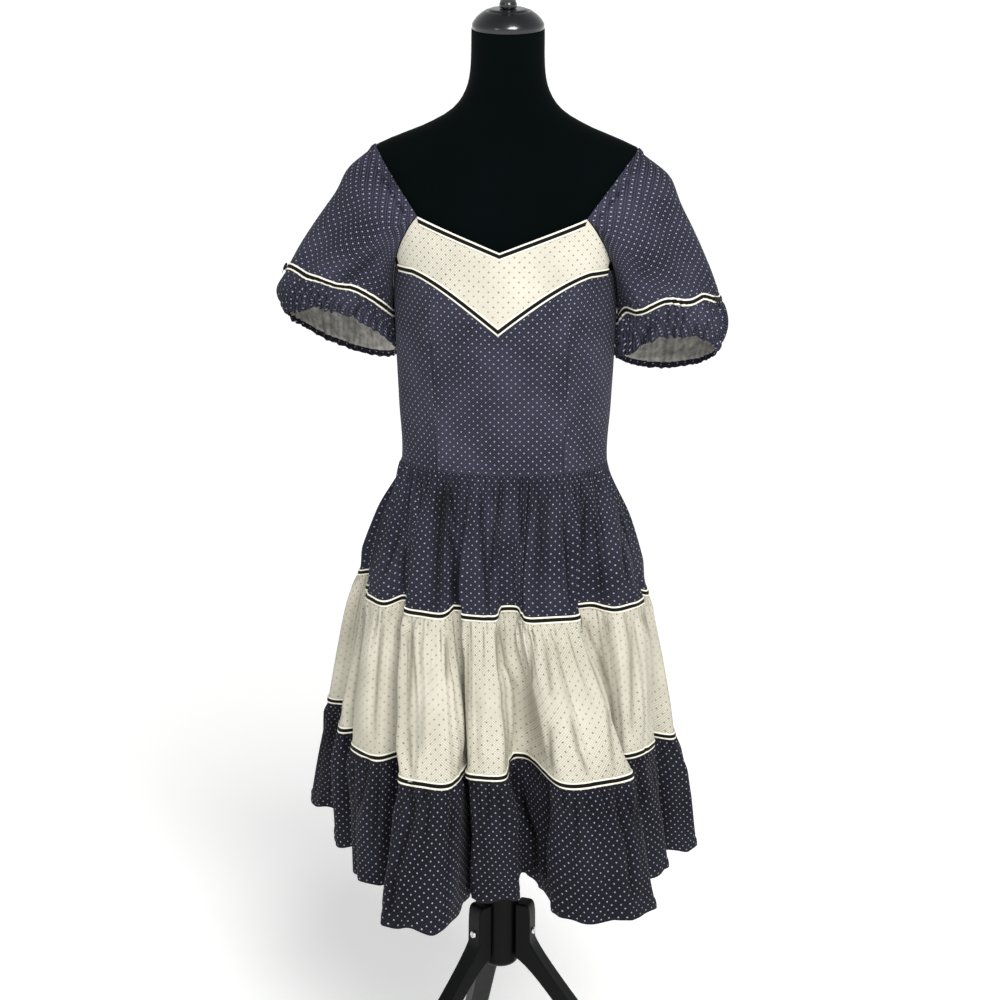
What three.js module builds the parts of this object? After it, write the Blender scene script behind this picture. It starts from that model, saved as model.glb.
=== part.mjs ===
// A tiered cotton dress on a limbless dress form with a three-legged stand, in millimetres.
// +Z is up and the dress faces -Y. Angles round the body are 0 at the front and 90 at +X.
// Cloth is a thin wall: its outside comes from the tables below, its inside is that moved in.
import * as THREE from 'three';

const CLOTH = 1.2;
const SEAM = 0.3;
const RIBBON_WIDTH = 8.5;
const RIBBON_THICK = 0.9;
const RIBBON_LIFT = 0.4;

const WAIST_Z = 957;
const RIBBON_1_Z = 785;
const RIBBON_2_Z = 592;
const HEM_Z = 432;

// The form's skin at each height, and the ease that the cloth's outside has over it.
const BODY = [
  { z: 700, half: 138, front: 90, back: 102, ease: 6 },
  { z: 760, half: 149, front: 96, back: 111, ease: 6 },
  { z: 820, half: 149, front: 96, back: 112, ease: 6 },
  { z: 890, half: 137, front: 91, back: 99, ease: 6 },
  { z: 957, half: 123, front: 90, back: 85, ease: 5 },
  { z: 1030, half: 126, front: 99, back: 90, ease: 5 },
  { z: 1094, half: 129, front: 112, back: 94, ease: 5 },
  { z: 1150, half: 131, front: 122, back: 98, ease: 5 },
  { z: 1200, half: 134, front: 115, back: 100, ease: 5 },
  { z: 1240, half: 148, front: 103, back: 99, ease: 4.5 },
  { z: 1267, half: 161, front: 93, back: 94, ease: 4 },
  { z: 1300, half: 169, front: 78, back: 83, ease: 3.5 },
  { z: 1325, half: 166, front: 64, back: 68, ease: 2.4 },
  { z: 1343, half: 156.5, front: 52, back: 54, ease: 1.8 },
  { z: 1355, half: 130, front: 47, back: 50, ease: 1.8 },
  { z: 1368, half: 98, front: 45, back: 48, ease: 1.8 },
  { z: 1385, half: 68, front: 43, back: 46, ease: 1.8 },
  { z: 1405, half: 52, front: 42, back: 44, ease: 1.8 },
  { z: 1430, half: 45, front: 42, back: 43, ease: 1.8 },
  { z: 1480, half: 43.5, front: 43, back: 43, ease: 1.8 },
];

// Bodice edges. A corner is where the neckline, the armhole and the sleeve's free edge meet.
const NECK_POINT_Z = 1230;
const FRONT_CORNER = { x: 100, z: 1267 };
const BACK_CORNER = { x: 104, z: 1276 };
const BACK_NECK_Z = 1262;
const SHOULDER_Z = 1343;
const UNDERARM_Z = 1172;
const CHEVRON_POINT_Z = 1139.6;
const CHEVRON_SIDE_Z = 1202;
const CHEVRON_REACH = 105;
const CHEVRON_POWER = 1.35;
const BUST_HALF = 138;
const YOKE_END_DEG = 63.5;
const YOKE_ROWS = 3;
const PANEL_ROWS = 8;
const CORNER_COLUMN = 4;
const PANEL_COLUMNS = 6;

// The skirt's mean outline at both ribbons and the hem, before the folds are added.
const SKIRT_LEVELS = [
  { z: RIBBON_1_Z, half: 165, front: 105, back: 140, rise: 7 },
  { z: RIBBON_2_Z, half: 200, front: 140, back: 185, rise: 6 },
  { z: HEM_Z, half: 225, front: 175, back: 225, rise: 5 },
];

// One row for each large fold: the crest's angle at both ribbons and the hem, its half width in
// degrees, how far the crest stands out and the valley after it goes in, and the hem's lift.
const FOLDS = [
  { at: [-148, -148, -148], spread: 10, out: [22, 36, 43], into: [0, -8, -27], lift: 4 },
  { at: [-113, -119, -121], spread: 9, out: [36, 60, 73], into: [3, -10, -34], lift: 12 },
  { at: [-93, -93, -90], spread: 6, out: [9, 12, -8], into: [-9, -28, -44], lift: 4 },
  { at: [-73, -67, -60], spread: 7, out: [13, 4, -10], into: [-8, -26, -45], lift: -3 },
  { at: [-43, -27, -22], spread: 9, out: [12, 37, 68], into: [-7, -25, -44], lift: -8 },
  { at: [-11, -5, 1], spread: 8, out: [12, 10, -12], into: [-7, -43, -72], lift: 0 },
  { at: [32, 43, 42], spread: 12, out: [15, 38, 55], into: [-7, -32, -40], lift: -4 },
  { at: [72, 75, 72], spread: 8, out: [20, 0, 2], into: [-5, -28, -38], lift: 8 },
  { at: [98, 98, 97], spread: 7, out: [18, 22, 25], into: [-3, -19, -35], lift: 5 },
  { at: [126, 127, 127], spread: 10, out: [23, 34, 37], into: [0, -10, -27], lift: 3 },
  { at: [154, 154, 154], spread: 9, out: [25, 34, 33], into: [2, -10, -33], lift: 0 },
  { at: [183, 183, 183], spread: 9, out: [24, 33, 31], into: [3, -10, -32], lift: -2 },
];
const SHOULDER_SHARE = 0.8;
const SKIRT_COLUMNS = 96;

// Each tier: how far it bellies out between its seams, and the gathers under its top seam.
const TIERS = [
  { belly: 11, gather: 2.6 },
  { belly: 8, gather: 3.1 },
  { belly: 5, gather: 3.3 },
];
const TIER_ROWS = [0, 0.03, 0.12, 0.5, 1];
const GATHER_START = 0.03;
const GATHER_FADE = 0.3;

// Each sleeve: the ring under its ribbon and the elastic cuff. slope is the inner end's drop and
// pitch the front's rise, both over the half width or half depth.
const SLEEVES = {
  left: {
    side: -1, puff: 8,
    ribbon: { x: 206, z: 1167, half: 66, depth: 62, slope: 21, pitch: 14 },
    cuff: { x: 209, z: 1124, half: 68, depth: 42, slope: 24, pitch: 30 },
  },
  right: {
    side: 1, puff: 11,
    ribbon: { x: 200, z: 1149, half: 60, depth: 62, slope: 8, pitch: 16 },
    cuff: { x: 201, z: 1096, half: 60, depth: 42, slope: 3, pitch: 28 },
  },
};
const SLEEVE_COLUMNS = 40;
const SLEEVE_CORNER = 8;
const SLEEVE_ROWS = [0, 0.3, 0.8, 1.3, 1.9, 2.12, 2.55, 2.85, 3];
const RIBBON_ROW = 1.9;
const BOW = { reach: 9, rise: 4.5, knot: 1.8, thick: 2.4, column: 2, lift: 0.6 };
const CUFF_GATHER = 2;
const CUFF_BELLY = 7;
const SLEEVE_LIFT = 0.6;
const PUFF_RISE = 0.4;

// The form's neck cap and finial, the post, the pole and the legs of the stand.
const NECK_TOP_Z = 1480;
const NECK_TILT = 7;
const FORM_SIDES = 30;
const CAP_PROFILE = [
  { radius: 0, z: 0 },
  { radius: 43, z: 0 },
  { radius: 43, z: 5 },
  { radius: 41, z: 9 },
  { radius: 33, z: 19 },
  { radius: 26, z: 22 },
  { radius: 24.5, z: 20.5 },
  { radius: 23, z: 24 },
  { radius: 0, z: 24 },
];
const FINIAL_PROFILE = [
  { radius: 0, z: 0 },
  { radius: 10, z: 0 },
  { radius: 10.5, z: 4 },
  { radius: 9, z: 8 },
  { radius: 10, z: 13 },
  { radius: 9, z: 28 },
  { radius: 14, z: 35 },
  { radius: 17, z: 45 },
  { radius: 13, z: 57 },
  { radius: 0, z: 62 },
];
const POLE_RADIUS = 16;
const POST_RADIUS = 24;
const POST_TOP = 480;
const POST_PROFILE = [
  { radius: 0, z: 270 },
  { radius: 15, z: 270 },
  { radius: 21.5, z: 272.5 },
  { radius: POST_RADIUS, z: 279 },
  { radius: POST_RADIUS, z: POST_TOP - 4 },
  { radius: 20, z: POST_TOP },
  { radius: 0, z: POST_TOP },
];
const LEG = { count: 3, first: -46, thick: 25, top: 362, contact: 285, foot: 300, pad: 34, depth: 21 };
const BOLT_Z = 322;
const BOLT_PROFILE = [
  { radius: 0, z: 0 },
  { radius: 5, z: 0 },
  { radius: 5, z: 1.2 },
  { radius: 3.5, z: 2.5 },
  { radius: 0, z: 2.5 },
];

const radians = THREE.MathUtils.degToRad;

// Cubic through the rows of a table at height z, with each row's slope set by its neighbours.
function tableAt(rows, z, key) {
  const last = rows.length - 1;
  let i = rows.findIndex((row) => row.z > z) - 1;
  if (i < 0) i = z < rows[0].z ? 0 : last - 1;
  const slope = (k) => {
    const a = rows[Math.max(0, k - 1)];
    const b = rows[Math.min(last, k + 1)];
    return (b[key] - a[key]) / (b.z - a.z);
  };
  const span = rows[i + 1].z - rows[i].z;
  const t = THREE.MathUtils.clamp((z - rows[i].z) / span, 0, 1);
  const [p, q] = [rows[i][key], rows[i + 1][key]];
  return p * (1 + 2 * t) * (1 - t) ** 2 + q * t * t * (3 - 2 * t)
    + span * (slope(i) * t * (1 - t) ** 2 - slope(i + 1) * t * t * (1 - t));
}

// A point at an angle on the form's section at height z, moved out by extra.
function bodyPoint(degrees, z, extra = 0) {
  const turn = radians(degrees);
  const depth = tableAt(BODY, z, Math.cos(turn) > 0 ? 'front' : 'back');
  const half = tableAt(BODY, z, 'half');
  return new THREE.Vector3((half + extra) * Math.sin(turn), -(depth + extra) * Math.cos(turn), z);
}

const clothPoint = (degrees, z) => bodyPoint(degrees, z, tableAt(BODY, z, 'ease'));

// The angle at which the cloth's section at height z is x from the middle.
function angleAt(x, z) {
  const half = tableAt(BODY, z, 'half') + tableAt(BODY, z, 'ease');
  return THREE.MathUtils.radToDeg(Math.asin(Math.min(1, x / half)));
}

const FRONT_CORNER_DEG = angleAt(FRONT_CORNER.x, FRONT_CORNER.z);
const BACK_CORNER_DEG = angleAt(BACK_CORNER.x, BACK_CORNER.z);

// The armhole falls from the corner to the underarm as a squared cosine of the angle.
function armholeZ(fromMiddle, corner, cornerDeg) {
  const share = (fromMiddle - cornerDeg) / (90 - cornerDeg);
  return UNDERARM_Z + (corner.z - UNDERARM_Z) * Math.cos((share * Math.PI) / 2) ** 2;
}

// The bodice's upper edge: a V at the front neck, a shallow curve behind, and the armholes.
function bodiceTop(degrees) {
  const turn = Math.abs(degrees);
  if (turn <= FRONT_CORNER_DEG) {
    return NECK_POINT_Z + ((FRONT_CORNER.z - NECK_POINT_Z) * turn) / FRONT_CORNER_DEG;
  }
  if (turn <= 90) return armholeZ(turn, FRONT_CORNER, FRONT_CORNER_DEG);
  const behind = 180 - turn;
  if (behind >= BACK_CORNER_DEG) return armholeZ(behind, BACK_CORNER, BACK_CORNER_DEG);
  return BACK_NECK_Z + (BACK_CORNER.z - BACK_NECK_Z) * (behind / BACK_CORNER_DEG) ** 2;
}

// The yoke's lower edge, a chevron whose arms flatten towards the armholes.
function chevronZ(degrees) {
  const x = Math.abs(BUST_HALF * Math.sin(radians(degrees)));
  const reach = Math.max(0, 1 - x / CHEVRON_REACH);
  return CHEVRON_SIDE_Z - (CHEVRON_SIDE_Z - CHEVRON_POINT_Z) * reach ** CHEVRON_POWER;
}

// Values from stop to stop, with the given number of steps in each stretch.
function steps(stops, counts) {
  const values = [stops[0]];
  counts.forEach((count, i) => {
    for (let k = 1; k <= count; k += 1) {
      values.push(THREE.MathUtils.lerp(stops[i], stops[i + 1], k / count));
    }
  });
  return values;
}

const fractions = (count) => steps([0, 1], [count]);

// Moves each point of a grid out along the grid's own normal, or level in its first and last rows
// when they are seams. A round grid closes on itself.
function moved(grid, round, distance, seams = false) {
  const [rows, columns] = [grid.length, grid[0].length];
  const column = (c) => (round ? (c + columns) % columns : THREE.MathUtils.clamp(c, 0, columns - 1));
  return grid.map((row, r) => row.map((point, c) => {
    const across = row[column(c + 1)].clone().sub(row[column(c - 1)]);
    const down = grid[Math.min(rows - 1, r + 1)][c].clone().sub(grid[Math.max(0, r - 1)][c]);
    const normal = down.cross(across);
    if (seams && (r === 0 || r === rows - 1)) normal.z = 0;
    return point.clone().addScaledVector(normal.normalize(), distance);
  }));
}

function signedVolume(points, faces) {
  return faces.reduce((sum, [a, b, c]) => (
    sum + points[a].dot(points[b].clone().cross(points[c])) / 6
  ), 0);
}

// A closed body from its points and triangles, with its faces turned outwards.
function body(points, faces) {
  const flip = signedVolume(points, faces) < 0;
  const geometry = new THREE.BufferGeometry();
  geometry.setAttribute('position', new THREE.Float32BufferAttribute(points.flatMap((p) => p.toArray()), 3));
  geometry.setIndex(faces.flatMap(([a, b, c]) => (flip ? [a, c, b] : [a, b, c])));
  return geometry;
}

// A wall between two grids of the same size, closed along its open edges.
function wall(outer, inner, round) {
  const [rows, columns] = [outer.length, outer[0].length];
  const wrap = (c) => (round ? c % columns : c);
  const out = (r, c) => r * columns + wrap(c);
  const back = (r, c) => rows * columns + out(r, c);
  const faces = [];
  const quad = (a, b, c, d) => faces.push([a, b, c], [a, c, d]);
  const spans = round ? columns : columns - 1;
  for (let c = 0; c < spans; c += 1) {
    for (let r = 0; r < rows - 1; r += 1) {
      quad(out(r, c), out(r + 1, c), out(r + 1, c + 1), out(r, c + 1));
      quad(back(r, c), back(r, c + 1), back(r + 1, c + 1), back(r + 1, c));
    }
    quad(out(0, c), out(0, c + 1), back(0, c + 1), back(0, c));
    quad(out(rows - 1, c), back(rows - 1, c), back(rows - 1, c + 1), out(rows - 1, c + 1));
  }
  for (let r = 0; r < rows - 1 && !round; r += 1) {
    const end = columns - 1;
    quad(out(r, 0), back(r, 0), back(r + 1, 0), out(r + 1, 0));
    quad(out(r, end), out(r + 1, end), back(r + 1, end), back(r, end));
  }
  return body([...outer.flat(), ...inner.flat()], faces);
}

const clothWall = (grid, round) => wall(grid, moved(grid, round, -CLOTH, true), round);

// A ribbon lies on the cloth: the same grid, moved out clear of the cloth and its facets.
function ribbonWall(grid, round) {
  const clear = SEAM + RIBBON_LIFT;
  return wall(moved(grid, round, clear + RIBBON_THICK), moved(grid, round, clear), round);
}

// A solid through stacked rings, closed by a fan at each end.
function loft(rings) {
  const columns = rings[0].length;
  const points = rings.flat();
  const faces = [];
  for (let r = 0; r < rings.length - 1; r += 1) {
    for (let c = 0; c < columns; c += 1) {
      const [a, b] = [r * columns + c, r * columns + ((c + 1) % columns)];
      faces.push([a, b, b + columns], [a, b + columns, a + columns]);
    }
  }
  const ends = [[rings[0], 0, true], [rings.at(-1), (rings.length - 1) * columns, false]];
  ends.forEach(([ring, start, low]) => {
    const middle = ring.reduce((sum, p) => sum.add(p), new THREE.Vector3()).divideScalar(columns);
    points.push(middle);
    for (let c = 0; c < columns; c += 1) {
      const [a, b] = [start + c, start + ((c + 1) % columns)];
      faces.push(low ? [points.length - 1, b, a] : [points.length - 1, a, b]);
    }
  });
  return body(points, faces);
}

const FINISH = {
  navy: { color: '#45434f', roughness: 0.85, metalness: 0 },
  cream: { color: '#dedacb', roughness: 0.85, metalness: 0 },
  ribbon: { color: '#f2efdf', roughness: 0.6, metalness: 0 },
  bow: { color: '#141416', roughness: 0.5, metalness: 0 },
  jersey: { color: '#101417', roughness: 0.95, metalness: 0 },
  lacquer: { color: '#0b0c0e', roughness: 0.25, metalness: 0 },
  wood: { color: '#0d0f11', roughness: 0.5, metalness: 0 },
  steel: { color: '#c8c8c8', roughness: 0.25, metalness: 1 },
};

const part = new THREE.Group();

function add(name, geometry, finish) {
  const mesh = new THREE.Mesh(geometry, new THREE.MeshStandardMaterial(FINISH[finish]));
  mesh.name = name;
  part.add(mesh);
  return mesh;
}

// A bodice panel between two heights that depend on the angle.
function panelGrid(angles, rowCount, bottom, top) {
  return fractions(rowCount).map((v) => angles.map((turn) => (
    clothPoint(turn, THREE.MathUtils.lerp(top(turn) - SEAM / 2, bottom(turn) + SEAM / 2, v))
  )));
}

// The angle of half a seam on the narrowest part of the bodice, at its side.
const EDGE_DEG = THREE.MathUtils.radToDeg(SEAM / 2 / tableAt(BODY, WAIST_Z, 'front'));
const waist = () => WAIST_Z;
const sideTop = (turn) => Math.min(chevronZ(turn), bodiceTop(turn));

// The front's columns. The princess seams come down from the neckline's corners.
const yokeColumns = steps(
  [-YOKE_END_DEG, -FRONT_CORNER_DEG, 0, FRONT_CORNER_DEG, YOKE_END_DEG],
  [CORNER_COLUMN, PANEL_COLUMNS, PANEL_COLUMNS, CORNER_COLUMN],
);
const yokeGrid = panelGrid(yokeColumns, YOKE_ROWS, chevronZ, bodiceTop);
const underYokeGrid = panelGrid(yokeColumns, PANEL_ROWS, waist, sideTop);

function addPanel(name, angles, top) {
  add(name, clothWall(panelGrid(angles, PANEL_ROWS, waist, top), false), 'navy');
}

function addBodice() {
  const middle = yokeColumns.slice(CORNER_COLUMN, -CORNER_COLUMN);
  middle[0] += EDGE_DEG;
  middle[middle.length - 1] -= EDGE_DEG;
  const side = steps([FRONT_CORNER_DEG, YOKE_END_DEG, 90 - EDGE_DEG], [CORNER_COLUMN, CORNER_COLUMN]);
  side[0] += EDGE_DEG;
  const behind = steps(
    [90 + EDGE_DEG, 180 - BACK_CORNER_DEG, 180 - EDGE_DEG],
    [PANEL_COLUMNS, PANEL_COLUMNS],
  );
  const onLeft = (angles) => angles.map((turn) => -turn).reverse();
  add('yoke_front', clothWall(yokeGrid, false), 'cream');
  addPanel('bodice_front_centre', middle, chevronZ);
  addPanel('bodice_front_side_right', side, sideTop);
  addPanel('bodice_front_side_left', onLeft(side), sideTop);
  addPanel('bodice_back_right', behind, bodiceTop);
  addPanel('bodice_back_left', onLeft(behind), bodiceTop);
}

// Points at a distance from a grid's seam row towards the next row, square to the seam.
function rowBeside(grid, seamRow, nextRow, distance, round) {
  const row = grid[seamRow];
  return row.map((point, c) => {
    const before = row[round ? (c + row.length - 1) % row.length : Math.max(0, c - 1)];
    const after = row[round ? (c + 1) % row.length : Math.min(row.length - 1, c + 1)];
    const along = after.clone().sub(before).normalize();
    const down = grid[nextRow][c].clone().sub(point);
    const square = down.clone().cross(along).length();
    return point.clone().addScaledVector(down, distance / square);
  });
}

function addBodiceRibbons() {
  const edge = rowBeside(yokeGrid, 0, 1, RIBBON_WIDTH, false);
  const neck = [yokeGrid[0], edge].map((row) => row.slice(CORNER_COLUMN, -CORNER_COLUMN));
  add('ribbon_neckline', ribbonWall(neck, false), 'ribbon');
  const above = rowBeside(yokeGrid, YOKE_ROWS, YOKE_ROWS - 1, RIBBON_WIDTH / 2, false);
  const below = rowBeside(underYokeGrid, 0, 1, RIBBON_WIDTH / 2, false);
  add('ribbon_yoke', ribbonWall([above, below], false), 'ribbon');
}

// Radius of an outline with a half width and two depths, in the direction of an angle.
function outlineRadius({ half, front, back }, degrees) {
  const turn = radians(degrees);
  const depth = Math.cos(turn) > 0 ? front : back;
  return 1 / Math.hypot(Math.sin(turn) / half, Math.cos(turn) / depth);
}

// A point in the direction of an angle, at a distance from the axis and a height.
function around(degrees, radius, z) {
  return new THREE.Vector3(radius * Math.sin(radians(degrees)), -radius * Math.cos(radians(degrees)), z);
}

// A closed ring of the skirt at one level: each fold gives two shoulders, a crest and a valley.
// With no level the ring is the waist seam, at the same angles as the first ribbon.
function skirtRing(level) {
  const outline = SKIRT_LEVELS[level];
  const column = level ?? 0;
  const points = FOLDS.flatMap((fold, i) => {
    const from = fold.at[column];
    const next = FOLDS[(i + 1) % FOLDS.length];
    const to = next.at[column] + (i === FOLDS.length - 1 ? 360 : 0);
    const place = (degrees, offset, rise) => (outline
      ? around(degrees, outlineRadius(outline, degrees) + offset, outline.z + rise)
      : around(degrees, outlineRadius(waistOutline, degrees), WAIST_Z));
    const lift = (fold.lift * (column + 1)) / SKIRT_LEVELS.length;
    const [crest, trough] = [fold.out[column], fold.into[column]];
    const shoulder = THREE.MathUtils.lerp(trough, crest, SHOULDER_SHARE);
    return [
      place(from - fold.spread, shoulder, lift),
      place(from, crest, lift),
      place(from + fold.spread, shoulder, lift),
      place((from + fold.spread + to - next.spread) / 2, trough, lift + SKIRT_LEVELS[column].rise),
    ];
  });
  return new THREE.CatmullRomCurve3(points, true, 'catmullrom', 0.5);
}

const waistOutline = {
  half: clothPoint(90, WAIST_Z).x,
  front: -clothPoint(0, WAIST_Z).y,
  back: clothPoint(180, WAIST_Z).y,
};
const skirtRings = [undefined, 0, 1, 2].map(skirtRing);

// The strength of the gathers at a share t down a tier: none under the ribbon, most just below it.
const gatherAt = (t) => (t > GATHER_START ? Math.exp(-t / GATHER_FADE) * (1 - t) : 0);

// One column of the skirt is a smooth curve down through the four rings.
const skirtLines = fractions(SKIRT_COLUMNS).slice(0, -1).map((share) => (
  new THREE.CatmullRomCurve3(skirtRings.map((ring) => ring.getPoint(share)), false, 'catmullrom', 0.5)
));

// A tier's grid: the columns' curves, bellied out, with a gather on every second column. Its ends
// keep half a seam from the next tier, and the hem is free.
function tierGrid(tier) {
  const { belly, gather } = TIERS[tier];
  const edge = SEAM / 2 / (WAIST_Z - RIBBON_1_Z);
  const end = tier === TIERS.length - 1 ? 1 : 1 - edge;
  return TIER_ROWS.map((t) => skirtLines.map((line, c) => {
    const point = line.getPoint((tier + THREE.MathUtils.clamp(t, edge, end)) / TIERS.length);
    const outward = new THREE.Vector3(point.x, point.y, 0).normalize();
    const wave = gather * gatherAt(t) * (c % 2 ? -1 : 1);
    return point.addScaledVector(outward, belly * Math.sin(Math.PI * t) + wave);
  }));
}

function addSkirt() {
  const grids = TIERS.map((_, tier) => tierGrid(tier));
  grids.forEach((grid, tier) => {
    add(`skirt_tier_${tier + 1}`, clothWall(grid, true), tier === 1 ? 'cream' : 'navy');
  });
  const last = TIER_ROWS.length - 1;
  [0, 1].forEach((tier) => {
    const above = rowBeside(grids[tier], last, last - 1, RIBBON_WIDTH / 2, true);
    const below = rowBeside(grids[tier + 1], 0, 1, RIBBON_WIDTH / 2, true);
    add(`ribbon_tier_${tier + 1}`, ribbonWall([above, below], true), 'ribbon');
  });
}

// The sleeve's top ring: up the free edge over the shoulder and round the armhole.
function sleeveTop(sleeve, column) {
  const near = column <= SLEEVE_COLUMNS / 2;
  const k = near ? column : SLEEVE_COLUMNS - column;
  const corner = near ? FRONT_CORNER : BACK_CORNER;
  const cornerDeg = near ? FRONT_CORNER_DEG : BACK_CORNER_DEG;
  let turn;
  let z;
  if (k <= SLEEVE_CORNER) {
    const share = Math.cos(((k / SLEEVE_CORNER) * Math.PI) / 2);
    z = THREE.MathUtils.lerp(corner.z, SHOULDER_Z, share);
    turn = angleAt(THREE.MathUtils.lerp(corner.x, clothPoint(90, SHOULDER_Z).x, share), z);
  } else {
    turn = cornerDeg + ((90 - cornerDeg) * (k - SLEEVE_CORNER)) / (SLEEVE_COLUMNS / 2 - SLEEVE_CORNER);
    z = armholeZ(turn, corner, cornerDeg);
  }
  const point = clothPoint(near ? turn : 180 - turn, z);
  const lift = SLEEVE_LIFT * THREE.MathUtils.clamp((k - SLEEVE_CORNER + 2) / 2, 0, 1);
  point.addScaledVector(new THREE.Vector3(point.x, point.y, 0).normalize(), lift);
  point.z += lift;
  point.x *= sleeve.side;
  return point;
}

// A tilted oval: column 0 is its outer end and a quarter round is its front.
function sleeveOval(sleeve, ring, column) {
  const turn = (2 * Math.PI * column) / SLEEVE_COLUMNS;
  const [along, forward] = [Math.cos(turn), Math.sin(turn)];
  return new THREE.Vector3(
    sleeve.side * (ring.x + ring.half * along),
    -ring.depth * forward,
    ring.z + ring.slope * along + ring.pitch * forward,
  );
}

// Half way down, the sleeve puffs away from its middle, but not on the side next to the body.
function sleeveMiddle(sleeve, column) {
  const middle = sleeveTop(sleeve, column).lerp(sleeveOval(sleeve, sleeve.ribbon, column), 0.5);
  const turn = (2 * Math.PI * column) / SLEEVE_COLUMNS;
  const free = 0.5 + 0.5 * Math.cos(turn);
  const away = new THREE.Vector3(sleeve.side * Math.cos(turn), -Math.sin(turn), PUFF_RISE);
  return middle.addScaledVector(away.normalize(), sleeve.puff * Math.sqrt(free));
}

function sleeveGrid(sleeve) {
  const columns = [...Array(SLEEVE_COLUMNS).keys()];
  const lines = columns.map((column) => new THREE.CatmullRomCurve3([
    sleeveTop(sleeve, column), sleeveMiddle(sleeve, column),
    sleeveOval(sleeve, sleeve.ribbon, column), sleeveOval(sleeve, sleeve.cuff, column),
  ], false, 'catmullrom', 0.5));
  return SLEEVE_ROWS.map((row) => lines.map((line, column) => {
    const point = line.getPoint(row / 3);
    const t = Math.max(0, row - 2);
    const turn = (2 * Math.PI * column) / SLEEVE_COLUMNS;
    const outward = new THREE.Vector3(sleeve.side * Math.cos(turn), -Math.sin(turn), 0);
    const wave = CUFF_GATHER * t * (column % 2 ? -1 : 1);
    const belly = CUFF_BELLY * Math.sin(Math.PI * t) * (0.5 + 0.5 * Math.cos(turn));
    return point.addScaledVector(outward, wave + belly);
  }));
}

// A small flat bow: two loops and a knot, cut from one outline.
function bowGeometry() {
  const { reach, rise, knot, thick } = BOW;
  const shape = new THREE.Shape();
  shape.moveTo(0, knot);
  shape.bezierCurveTo(reach * 0.5, rise * 1.6, reach, rise * 1.2, reach, 0);
  shape.bezierCurveTo(reach, -rise * 1.2, reach * 0.5, -rise * 1.6, 0, -knot);
  shape.bezierCurveTo(-reach * 0.5, -rise * 1.6, -reach, -rise * 1.2, -reach, 0);
  shape.bezierCurveTo(-reach, rise * 1.2, -reach * 0.5, rise * 1.6, 0, knot);
  return new THREE.ExtrudeGeometry(shape, { depth: thick, curveSegments: 4, bevelEnabled: false });
}

function addSleeves() {
  Object.entries(SLEEVES).forEach(([name, sleeve]) => {
    const grid = sleeveGrid(sleeve).map((row) => (sleeve.side > 0 ? [...row].reverse() : row));
    add(`sleeve_${name}`, clothWall(grid, true), 'navy');
    const seamRow = SLEEVE_ROWS.indexOf(RIBBON_ROW);
    const above = rowBeside(grid, seamRow, seamRow - 1, RIBBON_WIDTH / 4, true);
    const below = rowBeside(grid, seamRow, seamRow + 1, (RIBBON_WIDTH * 3) / 4, true);
    add(`ribbon_sleeve_${name}`, ribbonWall([above, below], true), 'ribbon');
    addBow(name, sleeve, [above, below]);
  });
}

// The bow lies flat on the ribbon near the sleeve's outer end, a little to the front.
function addBow(name, sleeve, [above, below]) {
  const c = sleeve.side > 0 ? SLEEVE_COLUMNS - 1 - BOW.column : BOW.column;
  const along = above[c + 1].clone().sub(above[c - 1]).normalize();
  const outward = below[c].clone().sub(above[c]).cross(along).normalize();
  const up = outward.clone().cross(along);
  const bow = add(`bow_${name}`, bowGeometry(), 'bow');
  bow.quaternion.setFromRotationMatrix(new THREE.Matrix4().makeBasis(along, up, outward));
  bow.position.copy(above[c]).lerp(below[c], 0.5);
  bow.position.addScaledVector(outward, SEAM + RIBBON_LIFT + RIBBON_THICK + BOW.lift);
}

function addForm() {
  const angles = fractions(FORM_SIDES).slice(0, -1).map((share) => share * 360);
  const rings = BODY.map(({ z }) => angles.map((turn) => bodyPoint(turn, z)));
  rings.at(-1).forEach((point) => { point.z += point.y * Math.tan(radians(NECK_TILT)); });
  add('form_torso', loft(rings), 'jersey');
}

// A turned piece from a profile that starts and ends on the axis.
function turned(profile, sides) {
  const outline = profile.map(({ radius, z }) => new THREE.Vector2(radius, z));
  return new THREE.LatheGeometry(outline, sides).rotateX(Math.PI / 2);
}

// The cap and the finial lean forward with the top of the neck.
function addCap() {
  const finialLow = CAP_PROFILE.at(-1).z + 2 * SEAM;
  [['neck_cap', CAP_PROFILE, 24, SEAM], ['finial', FINIAL_PROFILE, 16, finialLow]].forEach(
    ([name, profile, sides, low]) => {
      const piece = add(name, turned(profile, sides).translate(0, 0, low), 'lacquer');
      piece.rotation.x = radians(NECK_TILT);
      piece.position.z = NECK_TOP_Z;
    },
  );
}

// A leg is a flat board: upright against the post, then sweeping out and down to its foot.
function legShape() {
  const { top, contact, foot, pad, depth } = LEG;
  const inner = POST_RADIUS + SEAM;
  const outer = inner + depth;
  const shape = new THREE.Shape();
  shape.moveTo(inner, top);
  shape.lineTo(inner, contact);
  shape.bezierCurveTo(inner + 45, contact - 22, foot - 130, 95, foot - pad, 0);
  shape.lineTo(foot, 0);
  shape.quadraticCurveTo(foot + 4, 12, foot - 12, 24);
  shape.bezierCurveTo(foot - 105, 125, outer + 16, contact - 12, outer, contact + 25);
  shape.lineTo(outer, top - depth / 2);
  shape.quadraticCurveTo(outer, top, inner + depth / 2, top);
  return shape;
}

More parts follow.
